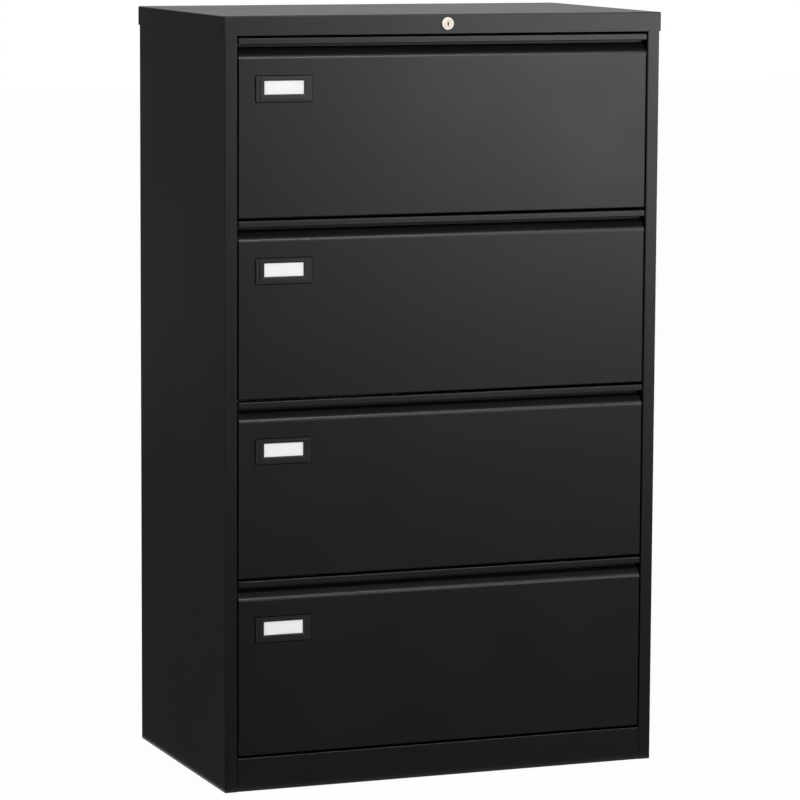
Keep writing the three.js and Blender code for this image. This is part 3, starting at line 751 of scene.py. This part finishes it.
# A near-black matt finish that paints shade: inside the keyway and as the rim around each label bezel.
painted_shade_black = grained_finish(
    "painted_shade_black", SHADE_BLACK_DARK, SHADE_BLACK_LIGHT, smooth=0.85, dull=0.95, specular=0.08, bump=0.1
)
keyway_shade_width = KEYWAY_WIDTH - 2 * KEYWAY_SHADE_GAP
keyway_shade_height = KEYWAY_HEIGHT - 2 * KEYWAY_SHADE_GAP
keyway_shade_reach = Vector((keyway_shade_width, KEYWAY_SHADE_THICKNESS, keyway_shade_height)) / 2
keyway_shade_middle = slot_middle + Vector((0, KEYWAY_SHADE_SUNK + KEYWAY_SHADE_THICKNESS / 2, 0))
keyway_shade_ends = (keyway_shade_middle - keyway_shade_reach, keyway_shade_middle + keyway_shade_reach)
keyway_shade = rounded_block("keyway_shade_plate", *keyway_shade_ends, KEYWAY_ROUND)
smooth_over(keyway_shade)
finish_piece(keyway_shade, painted_shade_black, "lock", "black_plastic")


# Lock rod: a round zinc-plated bar from the plug to the back of the cabinet, with a crank plate and a
# pin welded on its rear end. The pin rides in the locking bar's slot.
ROD = 3 * MM
ROD_CHAMFER = 0.5 * MM
ROD_SIDES = 32
CRANK_ARM = 8 * MM
CRANK_SWING = radians(225)
CRANK_EYE = 5 * MM
CRANK_PLATE = 3 * MM
CRANK_EDGE = 0.4 * MM
BAR_THICKNESS = 3 * MM
PLATE_GAP = 0.3 * MM
ZINC_DARK = (0.5, 0.51, 0.53, 1)
ZINC_LIGHT = (0.66, 0.66, 0.65, 1)
ZINC_ACROSS = 500
ZINC_ALONG = 9
EDGE_STEPS = 2


def zinc_plate(way, axis):
    """Zinc plate whose rolling streaks run along one axis."""
    stretch = [ZINC_ACROSS] * 3
    stretch[axis] = ZINC_ALONG
    return streaked_metal(
        f"zinc_plate_{way}", ZINC_DARK, ZINC_LIGHT, smooth=0.3, dull=0.46, stretch=stretch, bump=0.12
    )


zinc_along_y = zinc_plate("lengthwise", Y)


def join_pieces(main, *others):
    take(main)
    for other in others:
        other.select_set(True)
    bpy.ops.object.join()
    return main


rod_low, rod_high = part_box("lock_rod")
bar_low, bar_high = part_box("locking_bar")
bar_front = bar_high.y - BAR_THICKNESS
plate_back = bar_front - PLATE_GAP
plate_front = plate_back - CRANK_PLATE
rod_end = plate_front + CRANK_EDGE - lock_centre.y
rod_start = rod_low.y - lock_centre.y
rod_rings = [
    (ROD - ROD_CHAMFER, rod_start),
    (ROD, rod_start + ROD_CHAMFER),
    (ROD, rod_end),
]
rod = turned("lock_rod_bar", lock_centre, rod_rings, ROD_SIDES)
crank = Vector((CRANK_ARM * cos(CRANK_SWING), 0, CRANK_ARM * sin(CRANK_SWING)))
pin_end = rod_high.y - lock_centre.y
pin_rings = [
    (ROD, plate_back - CRANK_EDGE - lock_centre.y),
    (ROD, pin_end - ROD_CHAMFER),
    (ROD - ROD_CHAMFER, pin_end),
]
pin = turned("crank_pin", lock_centre + crank, pin_rings, ROD_SIDES)
deselect()
bpy.ops.mesh.primitive_circle_add(
    vertices=ROD_SIDES,
    radius=CRANK_EYE,
    fill_type="NGON",
    location=(lock_centre.x, plate_front, lock_centre.z),
    rotation=FACING_Y,
)
crank_plate = settled("crank_plate")
select_edges(crank_plate, lambda v: (v - lock_centre).dot(crank) > COORDINATE_SLACK * CRANK_ARM)
bpy.ops.transform.translate(value=crank)
bpy.ops.mesh.select_all(action="SELECT")
draw_out((0, CRANK_PLATE, 0))
close_edit()
round_folds(crank_plate, CRANK_EDGE, EDGE_STEPS)
smooth_over(crank_plate)
join_pieces(rod, pin, crank_plate)
finish_piece(rod, zinc_along_y, "lock", "zinc_steel", "lock_rod")


# Guide of the locking bar: a lipped channel of sheet steel riveted on the back panel, in which the bar
# slides up and down. Black powder coat.
GUIDE_LIP = 5 * MM
GUIDE_SETBACK = 0.65 * MM

low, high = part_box("lock_bar_guide")
web = high.y - HALF_SHEET
lip = low.y + HALF_SHEET
guide = flat_sheet("bar_guide", (low.x + HALF_SHEET, web, low.z), (high.x - HALF_SHEET, web, high.z))
for x, inward in ((low.x + HALF_SHEET, 1), (high.x - HALF_SHEET, -1)):
    fold_out(guide, lambda v: near(v.x, x), ((0, lip - web, 0), (inward * GUIDE_LIP, 0, 0)))
round_folds(guide, GUIDE_SETBACK)
thicken(guide)
finish_piece(guide, black_coat, "carcass", "black_powder_coat", "lock_bar_guide")


# Locking bar: a flat black-coated bar that the crank lifts. A slot at its top takes the crank pin, and
# below each drawer's catch it carries a welded arm with an upright prong.
BAR_EDGE = 0.5 * MM
ARM_WIDTH = 10 * MM
ARM_HEIGHT = 6 * MM
PRONG = 3 * MM
PRONG_HEIGHT = 12.814 * MM
PRONG_BELOW_FRONT_TOP = 105.814 * MM
SLOT_HEIGHT = 7.2 * MM
SLOT_WIDTH = 9.543 * MM
SLOT_TOP_EDGE = 4 * MM
SLOT_ROUND = 2.4 * MM
ARM_WELD = 0.2 * MM
DRAWER_NUMBERS = (1, 2, 3, 4)


def slice_sheet(piece, place, facing):
    """Adds a line across a piece where a fold or a pressing will start or stop."""
    edit_all(piece)
    bpy.ops.mesh.bisect(plane_co=place, plane_no=facing)
    close_edit()


bar_x = (bar_low.x + bar_high.x) / 2
bar = block_between("lift_bar", (bar_low.x, bar_front, bar_low.z), bar_high)
slot_top = bar_high.z - SLOT_TOP_EDGE
slot = rounded_block(
    "crank_slot",
    (bar_x - SLOT_WIDTH / 2, bar_front - BAR_THICKNESS, slot_top - SLOT_HEIGHT),
    (bar_x + SLOT_WIDTH / 2, bar_high.y + BAR_THICKNESS, slot_top),
    SLOT_ROUND,
)
round_folds(bar, BAR_EDGE, EDGE_STEPS)
cut_with(bar, slot)
smooth_over(bar)
arms = []
for number in DRAWER_NUMBERS:
    front_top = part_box(f"drawer_front_{number}")[1].z
    arm_top = front_top - PRONG_BELOW_FRONT_TOP - PRONG_HEIGHT
    arm = block_between(
        f"bar_arm_{number}",
        (bar_x - ARM_WIDTH / 2, bar_low.y, arm_top - ARM_HEIGHT),
        (bar_x + ARM_WIDTH / 2, bar_front + ARM_WELD, arm_top),
    )
    slice_sheet(arm, (0, bar_low.y + PRONG, 0), (0, 1, 0))
    select_faces(arm, lambda middle, normal: normal.z > FACING_SHARE and middle.y < bar_low.y + PRONG)
    draw_out((0, 0, PRONG_HEIGHT))
    close_edit()
    round_folds(arm, BAR_EDGE, EDGE_STEPS)
    smooth_over(arm)
    arms.append(arm)
join_pieces(bar, *arms)
finish_piece(bar, black_coat, "locking_bar", "black_powder_coat", "locking_bar")


# Telescopic slides: three rolled channels of zinc-plated steel nested in each other, one pair to a
# drawer. The outer member is screwed to the stile's return and the inner one to the tray, through
# oblong slots in their webs.
SLIDE_SHEET = 1.2 * MM
SLIDE_SETBACK = 1.2 * MM
SLIDE_LIP = 2.4 * MM
HAT_BRIM = 3 * MM
SLIDE_SLOT_LENGTH = 14 * MM
SLIDE_SLOT_WIDTH = 5 * MM
SLIDE_SLOT_ROUND = 2.3 * MM
SLIDE_SLOT_SPREAD = 150 * MM


def copy_piece(piece, name, shift, half_turn_at=None):
    """A copy with its own mesh, moved by a shift and, for the other side, given a half turn about Z."""
    take(piece)
    bpy.ops.object.duplicate(linked=False)
    copy = bpy.context.object
    copy.name = name
    edit_all(copy)
    bpy.ops.transform.translate(value=shift)
    if half_turn_at is not None:
        bpy.ops.transform.rotate(value=pi, orient_axis="Z", center_override=half_turn_at)
    close_edit()
    return copy


def copy_to_drawers(piece, name):
    """The piece itself for the top drawer and a copy of it for each drawer below."""
    pieces = [piece]
    for number in DRAWER_NUMBERS[1:]:
        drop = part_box(f"drawer_front_{number}")[0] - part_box("drawer_front_1")[0]
        pieces.append(copy_piece(piece, f"{name}_{number}", drop))
    return list(zip(DRAWER_NUMBERS, pieces))


def rolled_channel(name, low, high, web_x, flange_x, lip_turn, web_inset):
    """A slide member: its web upright, two flanges and the lips that hold the balls."""
    half = SLIDE_SHEET / 2
    bottom = low.z + half + web_inset
    top = high.z - half - web_inset
    member = flat_sheet(name, (web_x, low.y, bottom), (web_x, high.y, top))
    for z, lip_way in ((bottom, lip_turn), (top, -lip_turn)):
        legs = ((flange_x - web_x, 0, 0), (0, 0, lip_way))
        fold_out(member, lambda v: near(v.z, z), legs, along=Y)
    round_folds(member, SLIDE_SETBACK)
    thicken(member, SLIDE_SHEET)
    return member


def slot_web(member, low, high, web_x):
    """Cuts the two screw slots through the web of a slide member."""
    middle = (low + high) / 2
    for y in (middle.y - SLIDE_SLOT_SPREAD, middle.y + SLIDE_SLOT_SPREAD):
        reach = Vector((SLIDE_SHEET, SLIDE_SLOT_LENGTH / 2, SLIDE_SLOT_WIDTH / 2))
        centre = Vector((web_x, y, middle.z))
        cut_with(member, rounded_block("screw_slot", centre - reach, centre + reach, SLIDE_SLOT_ROUND, X))
    smooth_over(member)


half = SLIDE_SHEET / 2
members = []
for kind in ("outer", "middle", "inner"):
    low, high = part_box(f"slide_{kind}_left_1")
    name = f"{kind}_member_left_1"
    if kind == "inner":
        web_x, flange_x = high.x - half, low.x + half
        member = rolled_channel(name, low, high, web_x, flange_x, -HAT_BRIM, HAT_BRIM)
    else:
        web_x, flange_x = low.x + half, high.x - half
        member = rolled_channel(name, low, high, web_x, flange_x, SLIDE_LIP, 0)
    if kind != "middle":
        slot_web(member, low, high, web_x)
    members.append((kind, "left", member))
slide_middle = (low + high) / 2
about = Vector((0, slide_middle.y, 0))
for kind, _, member in members[:]:
    other = copy_piece(member, f"{kind}_member_right_1", (0, 0, 0), about)
    members.append((kind, "right", other))
for kind, hand, member in members:
    for number, copy in copy_to_drawers(member, f"{kind}_member_{hand}"):
        body = {"outer": "carcass", "middle": f"slide_middles_{number}", "inner": f"drawer_{number}"}[kind]
        finish_piece(copy, zinc_along_y, body, "zinc_steel", f"slide_{kind}_{hand}_{number}")


# Trays: floor and low sides folded from one sheet, with stiffening beads pressed into the floor, tall
# front and rear walls, corner gussets and the locking bar's catch welded on. Black powder coat.
TRAY_DEPTH = 430 * MM
TRAY_SIDE = 95 * MM
TRAY_RIM_LIP = 8 * MM
GUSSET_RUN = 80 * MM
FLOOR_BEADS = 4
BEAD_WIDTH = 14 * MM
BEAD_DEPTH = 2.5 * MM
BEAD_END = 45 * MM
BEAD_SETBACK = 0.8 * MM
CATCH_SHEET = 1.5 * MM
CATCH_WIDTH = 26 * MM
CATCH_REACH = 9 * MM
CATCH_LIP = 12.814 * MM
CATCH_SETBACK = 1.2 * MM
CATCH_BELOW_FRONT_TOP = 90 * MM


def press_beads(sheet, left, right, front, rear):
    """Presses oblong beads down into a flat sheet and rounds their edges."""
    pitch = (right - left) / (FLOOR_BEADS + 1)
    lines = [left + pitch * (i + 1) for i in range(FLOOR_BEADS)]
    for x in lines:
        slice_sheet(sheet, (x - BEAD_WIDTH / 2, 0, 0), (1, 0, 0))
        slice_sheet(sheet, (x + BEAD_WIDTH / 2, 0, 0), (1, 0, 0))
    for y in (front + BEAD_END, rear - BEAD_END):
        slice_sheet(sheet, (0, y, 0), (0, 1, 0))
    middle_y = (front + rear) / 2
    select_faces(
        sheet, lambda middle, normal: near(middle.y, middle_y) and any(near(middle.x, x) for x in lines)
    )
    bpy.ops.mesh.inset(thickness=BEAD_DEPTH)
    bpy.ops.transform.translate(value=(0, 0, -BEAD_DEPTH))
    bpy.ops.mesh.select_all(action="DESELECT")
    bpy.ops.mesh.select_mode(type="EDGE")
    bpy.ops.mesh.edges_select_sharp(sharpness=SMOOTH_ANGLE)
    bevel_selected(BEAD_SETBACK, EDGE_STEPS)


def move_corner(piece, place, shift):
    """Moves the one corner of a blank that lies at a place."""
    edit_none(piece, "VERT")
    close_edit()
    for corner in piece.data.vertices:
        corner.select = (corner.co - place).length < COORDINATE_SLACK
    open_edit()
    bpy.ops.transform.translate(value=shift)
    close_edit()


def fit_drawers(piece, name, material, slot, node=None):
    """Finishes a piece of the top drawer and a copy of it for each drawer below."""
    for number, copy in copy_to_drawers(piece, name):
        nodes = (f"{node}_{number}",) if node else ()
        finish_piece(copy, material, f"drawer_{number}", slot, *nodes)


low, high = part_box("tray_1")
rail_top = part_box("file_rail_rear_1")[1].z
left, right = low.x + HALF_SHEET, high.x - HALF_SHEET
front, rear = low.y + HALF_SHEET, low.y + TRAY_DEPTH - HALF_SHEET
floor_z = low.z + BEAD_DEPTH + HALF_SHEET
rim = low.z + BEAD_DEPTH + TRAY_SIDE - HALF_SHEET
tray = flat_sheet("tray_sheet_1", (left, front, floor_z), (right, rear, floor_z))
press_beads(tray, left, right, front, rear)
for x, inward in ((left, 1), (right, -1)):
    fold_out(tray, lambda v: near(v.x, x), ((0, 0, rim - floor_z), (inward * TRAY_RIM_LIP, 0, 0)), along=Y)
wall_steps = ((0, 0, rim - floor_z), (0, 0, rail_top - rim))
front_steps = (*wall_steps, (0, 0, high.z - rail_top))
for y, steps, run in ((front, front_steps, GUSSET_RUN), (rear, wall_steps, -GUSSET_RUN)):
    fold_out(tray, lambda v: near(v.y, y) and near(v.z, floor_z), steps, along=X)
    for x in (left, right):
        fold_out(
            tray,
            lambda v: near(v.x, x) and near(v.y, y) and rim - HALF_SHEET < v.z < rail_top + HALF_SHEET,
            ((0, run, 0),),
            along=Z,
        )
        gusset_top = Vector((x, y + run, rail_top))
        move_corner(tray, gusset_top, (0, SHEET - run if run > 0 else -SHEET - run, 0))
round_folds(tray, FOLD_SETBACK)
thicken(tray)
catch_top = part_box("drawer_front_1")[1].z - CATCH_BELOW_FRONT_TOP - CATCH_SHEET / 2
catch_back = low.y + TRAY_DEPTH + CATCH_REACH - CATCH_SHEET / 2
catch_front = low.y + TRAY_DEPTH - HALF_SHEET
catch = flat_sheet(
    "tray_catch",
    (bar_x - CATCH_WIDTH / 2, catch_front, catch_top),
    (bar_x + CATCH_WIDTH / 2, catch_back, catch_top),
)
fold_out(catch, lambda v: near(v.y, catch_back), ((0, 0, -CATCH_LIP - CATCH_SHEET / 2),))
round_folds(catch, CATCH_SETBACK)
thicken(catch, CATCH_SHEET)
join_pieces(tray, catch)
fit_drawers(tray, "tray_sheet", black_coat, "black_powder_coat", "tray")


# Tray screws: domed steel heads inside the tray's low sides, two to a slide, which draw the slide's
# inner member against the tray. Zinc plated.
SCREW_HEAD = 4.2 * MM
SCREW_RISE = 1.9 * MM
SCREW_SIDES = 24
SCREW_STEPS = 5
CROSS_LENGTH = 4.4 * MM
CROSS_WIDTH = 0.9 * MM
CROSS_DEPTH = 1.1 * MM

zinc_upright = zinc_plate("upright", Z)
screws = []
for y in (slide_middle.y - SLIDE_SLOT_SPREAD, slide_middle.y + SLIDE_SLOT_SPREAD):
    seat = Vector((low.x + SHEET, y, slide_middle.z))
    head_rings = []
    for step in range(SCREW_STEPS):
        swing = pi / 2 * step / SCREW_STEPS
        head_rings.append((SCREW_HEAD * cos(swing), -SCREW_RISE * sin(swing)))
    screw = turned("tray_screw", Vector((0, 0, 0)), head_rings, SCREW_SIDES)
    for reach in ((CROSS_LENGTH, CROSS_DEPTH, CROSS_WIDTH), (CROSS_WIDTH, CROSS_DEPTH, CROSS_LENGTH)):
        half_reach = Vector(reach) / 2
        crest = Vector((0, -SCREW_RISE, 0))
        cut_with(screw, block_between("cross", crest - half_reach, crest + half_reach))
    smooth_over(screw)
    edit_all(screw)
    bpy.ops.transform.rotate(value=pi / 2, orient_axis="Z", center_override=(0, 0, 0))
    bpy.ops.transform.translate(value=seat)
    close_edit()
    screws.append(screw)
screws.extend([copy_piece(screw, "tray_screw", (0, 0, 0), about) for screw in screws])
screw_set = join_pieces(*screws)
screw_set.name = "tray_screws_1"
fit_drawers(screw_set, "tray_screws", zinc_upright, "zinc_steel")


# File rails: a rolled strip along the front and rear wall of each tray, with a leg on the wall, a
# shelf and the upright edge that the folders' hooks ride on. Zinc-plated steel.
RAIL_LEG = 20 * MM
RAIL_SHELF = 12 * MM
RAIL_UPSTAND = 10 * MM

zinc_crosswise = zinc_plate("crosswise", X)
for place, leg_side in (("front", 1), ("rear", -1)):
    low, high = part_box(f"file_rail_{place}_1")
    leg = (low.y if leg_side > 0 else high.y) + leg_side * HALF_SHEET
    hook = leg + leg_side * RAIL_SHELF
    shelf = high.z - RAIL_UPSTAND
    shelf_front, shelf_rear = sorted((leg, hook))
    rail = flat_sheet(f"folder_rail_{place}_1", (low.x, shelf_front, shelf), (high.x, shelf_rear, shelf))
    fold_out(rail, lambda v: near(v.y, leg), ((0, 0, -RAIL_LEG),))
    fold_out(rail, lambda v: near(v.y, hook), ((0, 0, RAIL_UPSTAND),))
    round_folds(rail, FOLD_SETBACK)
    thicken(rail)
    fit_drawers(rail, f"folder_rail_{place}", zinc_crosswise, "zinc_steel", f"file_rail_{place}")


# Drawer fronts: each one sheet, folded into a flat panel, a soft bend, a slope into the pull recess,
# the recess's rear wall, a top flange and a hemmed lip. The sides and lower edge are boxed.
RECESS_DEPTH = 16.5 * MM
RECESS_SLOPE = radians(45)
RECESS_LEAN = 1.5 * MM
PANEL_BEND = 9 * MM
PANEL_BEND_STEPS = 10
PANEL_BELOW_TOP = 36 * MM
PULL_LIP = 11 * MM
HEM_PITCH = 1.5 * MM
HEM_SETBACK = 0.74 * MM
HEM_RETURN = 8 * MM
BOTTOM_RETURN = 15 * MM
SIDE_RETURN = 18 * MM
SIDE_DROP = 2 * MM
CORNER_NOTCH = 1.5 * MM

low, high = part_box("drawer_front_1")
left, right = low.x + HALF_SHEET, high.x - HALF_SHEET
front = low.y + HALF_SHEET
rear = front + RECESS_DEPTH
bottom = low.z + HALF_SHEET
top = high.z - HALF_SHEET
panel_top = high.z - PANEL_BELOW_TOP
bend_setback = PANEL_BEND * tan(RECESS_SLOPE / 2)
fold_z = panel_top + bend_setback
slope_rise = RECESS_DEPTH / tan(RECESS_SLOPE)
lip_bottom = high.z - PULL_LIP + HALF_SHEET
side_top = panel_top - SIDE_DROP
inner_left, inner_right = low.x + SIDE_RETURN + CORNER_NOTCH, high.x - SIDE_RETURN - CORNER_NOTCH
face = flat_sheet("front_sheet_1", (left, front, bottom), (right, front, fold_z))
slice_sheet(face, (0, 0, side_top), (0, 0, 1))
slice_sheet(face, (inner_left, 0, 0), (1, 0, 0))
slice_sheet(face, (inner_right, 0, 0), (1, 0, 0))
pull_legs = (
    (0, RECESS_DEPTH, slope_rise),
    (0, -RECESS_LEAN, top - fold_z - slope_rise),
    (0, RECESS_LEAN - RECESS_DEPTH, 0),
    (0, 0, lip_bottom - top),
    (0, HEM_PITCH, 0),
    (0, 0, HEM_RETURN),
)
fold_out(face, lambda v: near(v.z, fold_z), pull_legs, along=X)
fold_out(face, lambda v: near(v.z, bottom), ((0, RECESS_DEPTH, 0),), along=X)


def on_rear_edge(v):
    return near(v.z, bottom) and near(v.y, rear) and inner_left - SHEET < v.x < inner_right + SHEET


def on_side_edge(v):
    return near(v.x, x) and near(v.y, front) and v.z < side_top + HALF_SHEET


fold_out(face, on_rear_edge, ((0, 0, BOTTOM_RETURN - HALF_SHEET),), along=X)
for x, inward in ((left, 1), (right, -1)):
    legs = ((0, RECESS_DEPTH, 0), (inward * (SIDE_RETURN - HALF_SHEET), 0, 0))
    fold_out(face, on_side_edge, legs, along=Z)
weld_corners(face)
round_edges(face, lambda v: near(v.z, lip_bottom), HEM_SETBACK, along=X)
round_edges(face, lambda v: near(v.z, fold_z), bend_setback, along=X, steps=PANEL_BEND_STEPS)
slope_setback = FOLD_SETBACK * tan(RECESS_SLOPE / 2)
round_edges(face, lambda v: near(v.z, fold_z + slope_rise), slope_setback, along=X)
round_folds(face, FOLD_SETBACK)
thicken(face)
fit_drawers(face, "front_sheet", black_coat, "black_powder_coat", "drawer_front")


# Label holders: a moulded black bezel with a low outer flange, a raised inner frame and a window, stuck
# on the drawer front. A pocket behind the window takes the card.
LABEL_CORNER = 2 * MM
LABEL_BASE = 2 * MM
LABEL_SIDE_STEP = 6.5 * MM
LABEL_TOP_STEP = 3.25 * MM
WINDOW_WIDTH = 70.5 * MM
WINDOW_HEIGHT = 22.8 * MM
WINDOW_RAISE = 2.2 * MM
WINDOW_SLOPE = 1.2 * MM
POCKET_MARGIN = 3.3 * MM
POCKET_DEPTH = 1.1 * MM
POCKET_FLOOR = 0.15 * MM
LABEL_EDGE = 0.9 * MM
LABEL_EDGE_STEPS = 3
BEZEL_DARK = (0.006, 0.0055, 0.0072, 1)
BEZEL_LIGHT = (0.009, 0.0084, 0.0105, 1)

black_plastic = grained_finish(
    "black_plastic", BEZEL_DARK, BEZEL_LIGHT, smooth=0.32, dull=0.4, specular=0.34, bump=0.05
)


def soften_edges(piece, test, width, steps):
    """Rounds the sharp edges whose ends pass the test a little, as a mould does."""
    edit_none(piece, "EDGE")
    bpy.ops.mesh.edges_select_sharp(sharpness=SMOOTH_ANGLE)
    close_edit()
    corners = piece.data.vertices
    for edge in piece.data.edges:
        edge.select = edge.select and all(test(corners[i].co) for i in edge.vertices)
    open_edit()
    bevel_selected(width, steps, clamp=True)


low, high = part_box("label_holder_1")
label_middle = (low + high) / 2
label_size = high - low
base_front = high.y - LABEL_BASE
bezel = block_between("label_bezel_1", (low.x, base_front, low.z), high)
raised_width = label_size.x - 2 * LABEL_SIDE_STEP
raised_height = label_size.z - 2 * LABEL_TOP_STEP
select_faces(bezel, lambda middle, normal: normal.y < -FACING_SHARE)
bpy.ops.mesh.inset(thickness=LABEL_TOP_STEP)
widen(raised_width / (label_size.x - 2 * LABEL_TOP_STEP), 1, label_middle)
draw_out((0, low.y - base_front, 0))
frame_inset = (raised_height - WINDOW_HEIGHT) / 2 - WINDOW_SLOPE
bpy.ops.mesh.inset(thickness=frame_inset)
mouth_width = WINDOW_WIDTH + 2 * WINDOW_SLOPE
mouth_height = WINDOW_HEIGHT + 2 * WINDOW_SLOPE
widen(mouth_width / (raised_width - 2 * frame_inset), 1, label_middle)
bpy.ops.transform.translate(value=(0, 0, WINDOW_RAISE))
window_middle = label_middle + Vector((0, 0, WINDOW_RAISE))
draw_out((0, WINDOW_SLOPE, 0))
widen(WINDOW_WIDTH / mouth_width, WINDOW_HEIGHT / mouth_height, window_middle)
pocket_front = high.y - POCKET_DEPTH
draw_out((0, pocket_front - (low.y + WINDOW_SLOPE), 0))
draw_out((0, 0, 0))
pocket_width = WINDOW_WIDTH + 2 * POCKET_MARGIN
pocket_height = WINDOW_HEIGHT + 2 * POCKET_MARGIN
widen(pocket_width / WINDOW_WIDTH, pocket_height / WINDOW_HEIGHT, window_middle)
draw_out((0, POCKET_DEPTH - POCKET_FLOOR, 0))
close_edit()
raised_left, raised_right = label_middle.x - raised_width / 2, label_middle.x + raised_width / 2
round_edges(bezel, lambda v: near(v.x, low.x) or near(v.x, high.x), LABEL_CORNER, along=Y)
round_edges(bezel, lambda v: near(v.x, raised_left) or near(v.x, raised_right), LABEL_CORNER, along=Y)
soften_edges(bezel, lambda v: v.y < base_front + LABEL_EDGE, LABEL_EDGE, LABEL_EDGE_STEPS)
smooth_over(bezel)
fit_drawers(bezel, "label_bezel", black_plastic, "black_plastic", "label_holder")


# Label shadow rims: a thin sheet of dull near-black behind each bezel, a little larger than it all
# round, which paints the shade around the bezel as a narrow dark rim.
SHADOW_RIM = 1.4 * MM
SHADOW_THICKNESS = 0.25 * MM

label_shadow_low = (low.x - SHADOW_RIM, high.y, low.z - SHADOW_RIM)
label_shadow_high = (high.x + SHADOW_RIM, high.y + SHADOW_THICKNESS, high.z + SHADOW_RIM)
label_shadow = rounded_block("label_shadow_rim_1", label_shadow_low, label_shadow_high, LABEL_CORNER + SHADOW_RIM)
smooth_over(label_shadow)
fit_drawers(label_shadow, "label_shadow_rim", painted_shade_black, "black_plastic")


# Label cards: plain white card, cut with rounded corners and slipped into the bezel's pocket.
CARD_CORNER = 1 * MM
CARD_DARK = (0.86, 0.86, 0.85, 1)
CARD_LIGHT = (0.91, 0.91, 0.9, 1)

card_stock = grained_finish(
    "card_stock", CARD_DARK, CARD_LIGHT, smooth=0.75, dull=0.9, specular=0.2, bump=0.05
)
low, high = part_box("label_card_1")
card = rounded_block("card_1", low, high, CARD_CORNER)
smooth_over(card)
fit_drawers(card, "card", card_stock, "white_card", "label_card")


# Clear windows: a thin clear plastic film in front of each card, held by the bezel's frame.
FILM_GAP = 0.06 * MM
FILM_THICKNESS = 0.2 * MM
FILM_ALPHA = 0.12
FILM_TINT = (0.95, 0.95, 0.95, 1)

clear_film, film_shader = new_material("clear_film", {"Base Color": FILM_TINT, "Alpha": FILM_ALPHA})
film_place = add_node(clear_film.node_tree, "TexCoord")
film_haze = add_node(clear_film.node_tree, "TexNoise", {"Scale": 60})
film_dull = add_node(clear_film.node_tree, "MapRange", {"To Min": 0.03, "To Max": 0.12})
wire(film_place, "Object", film_haze, "Vector")
wire(film_haze, "Fac", film_dull, "Value")
wire(film_dull, "Result", film_shader, "Roughness")
film_back = low.y - FILM_GAP
film_front = film_back - FILM_THICKNESS
film_ends = ((low.x, film_front, low.z), (high.x, film_back, high.z))
film = rounded_block("window_film_1", *film_ends, CARD_CORNER)
smooth_over(film)
fit_drawers(film, "window_film", clear_film, "black_plastic")


# Sizes: the box of the finished model.
low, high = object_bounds()
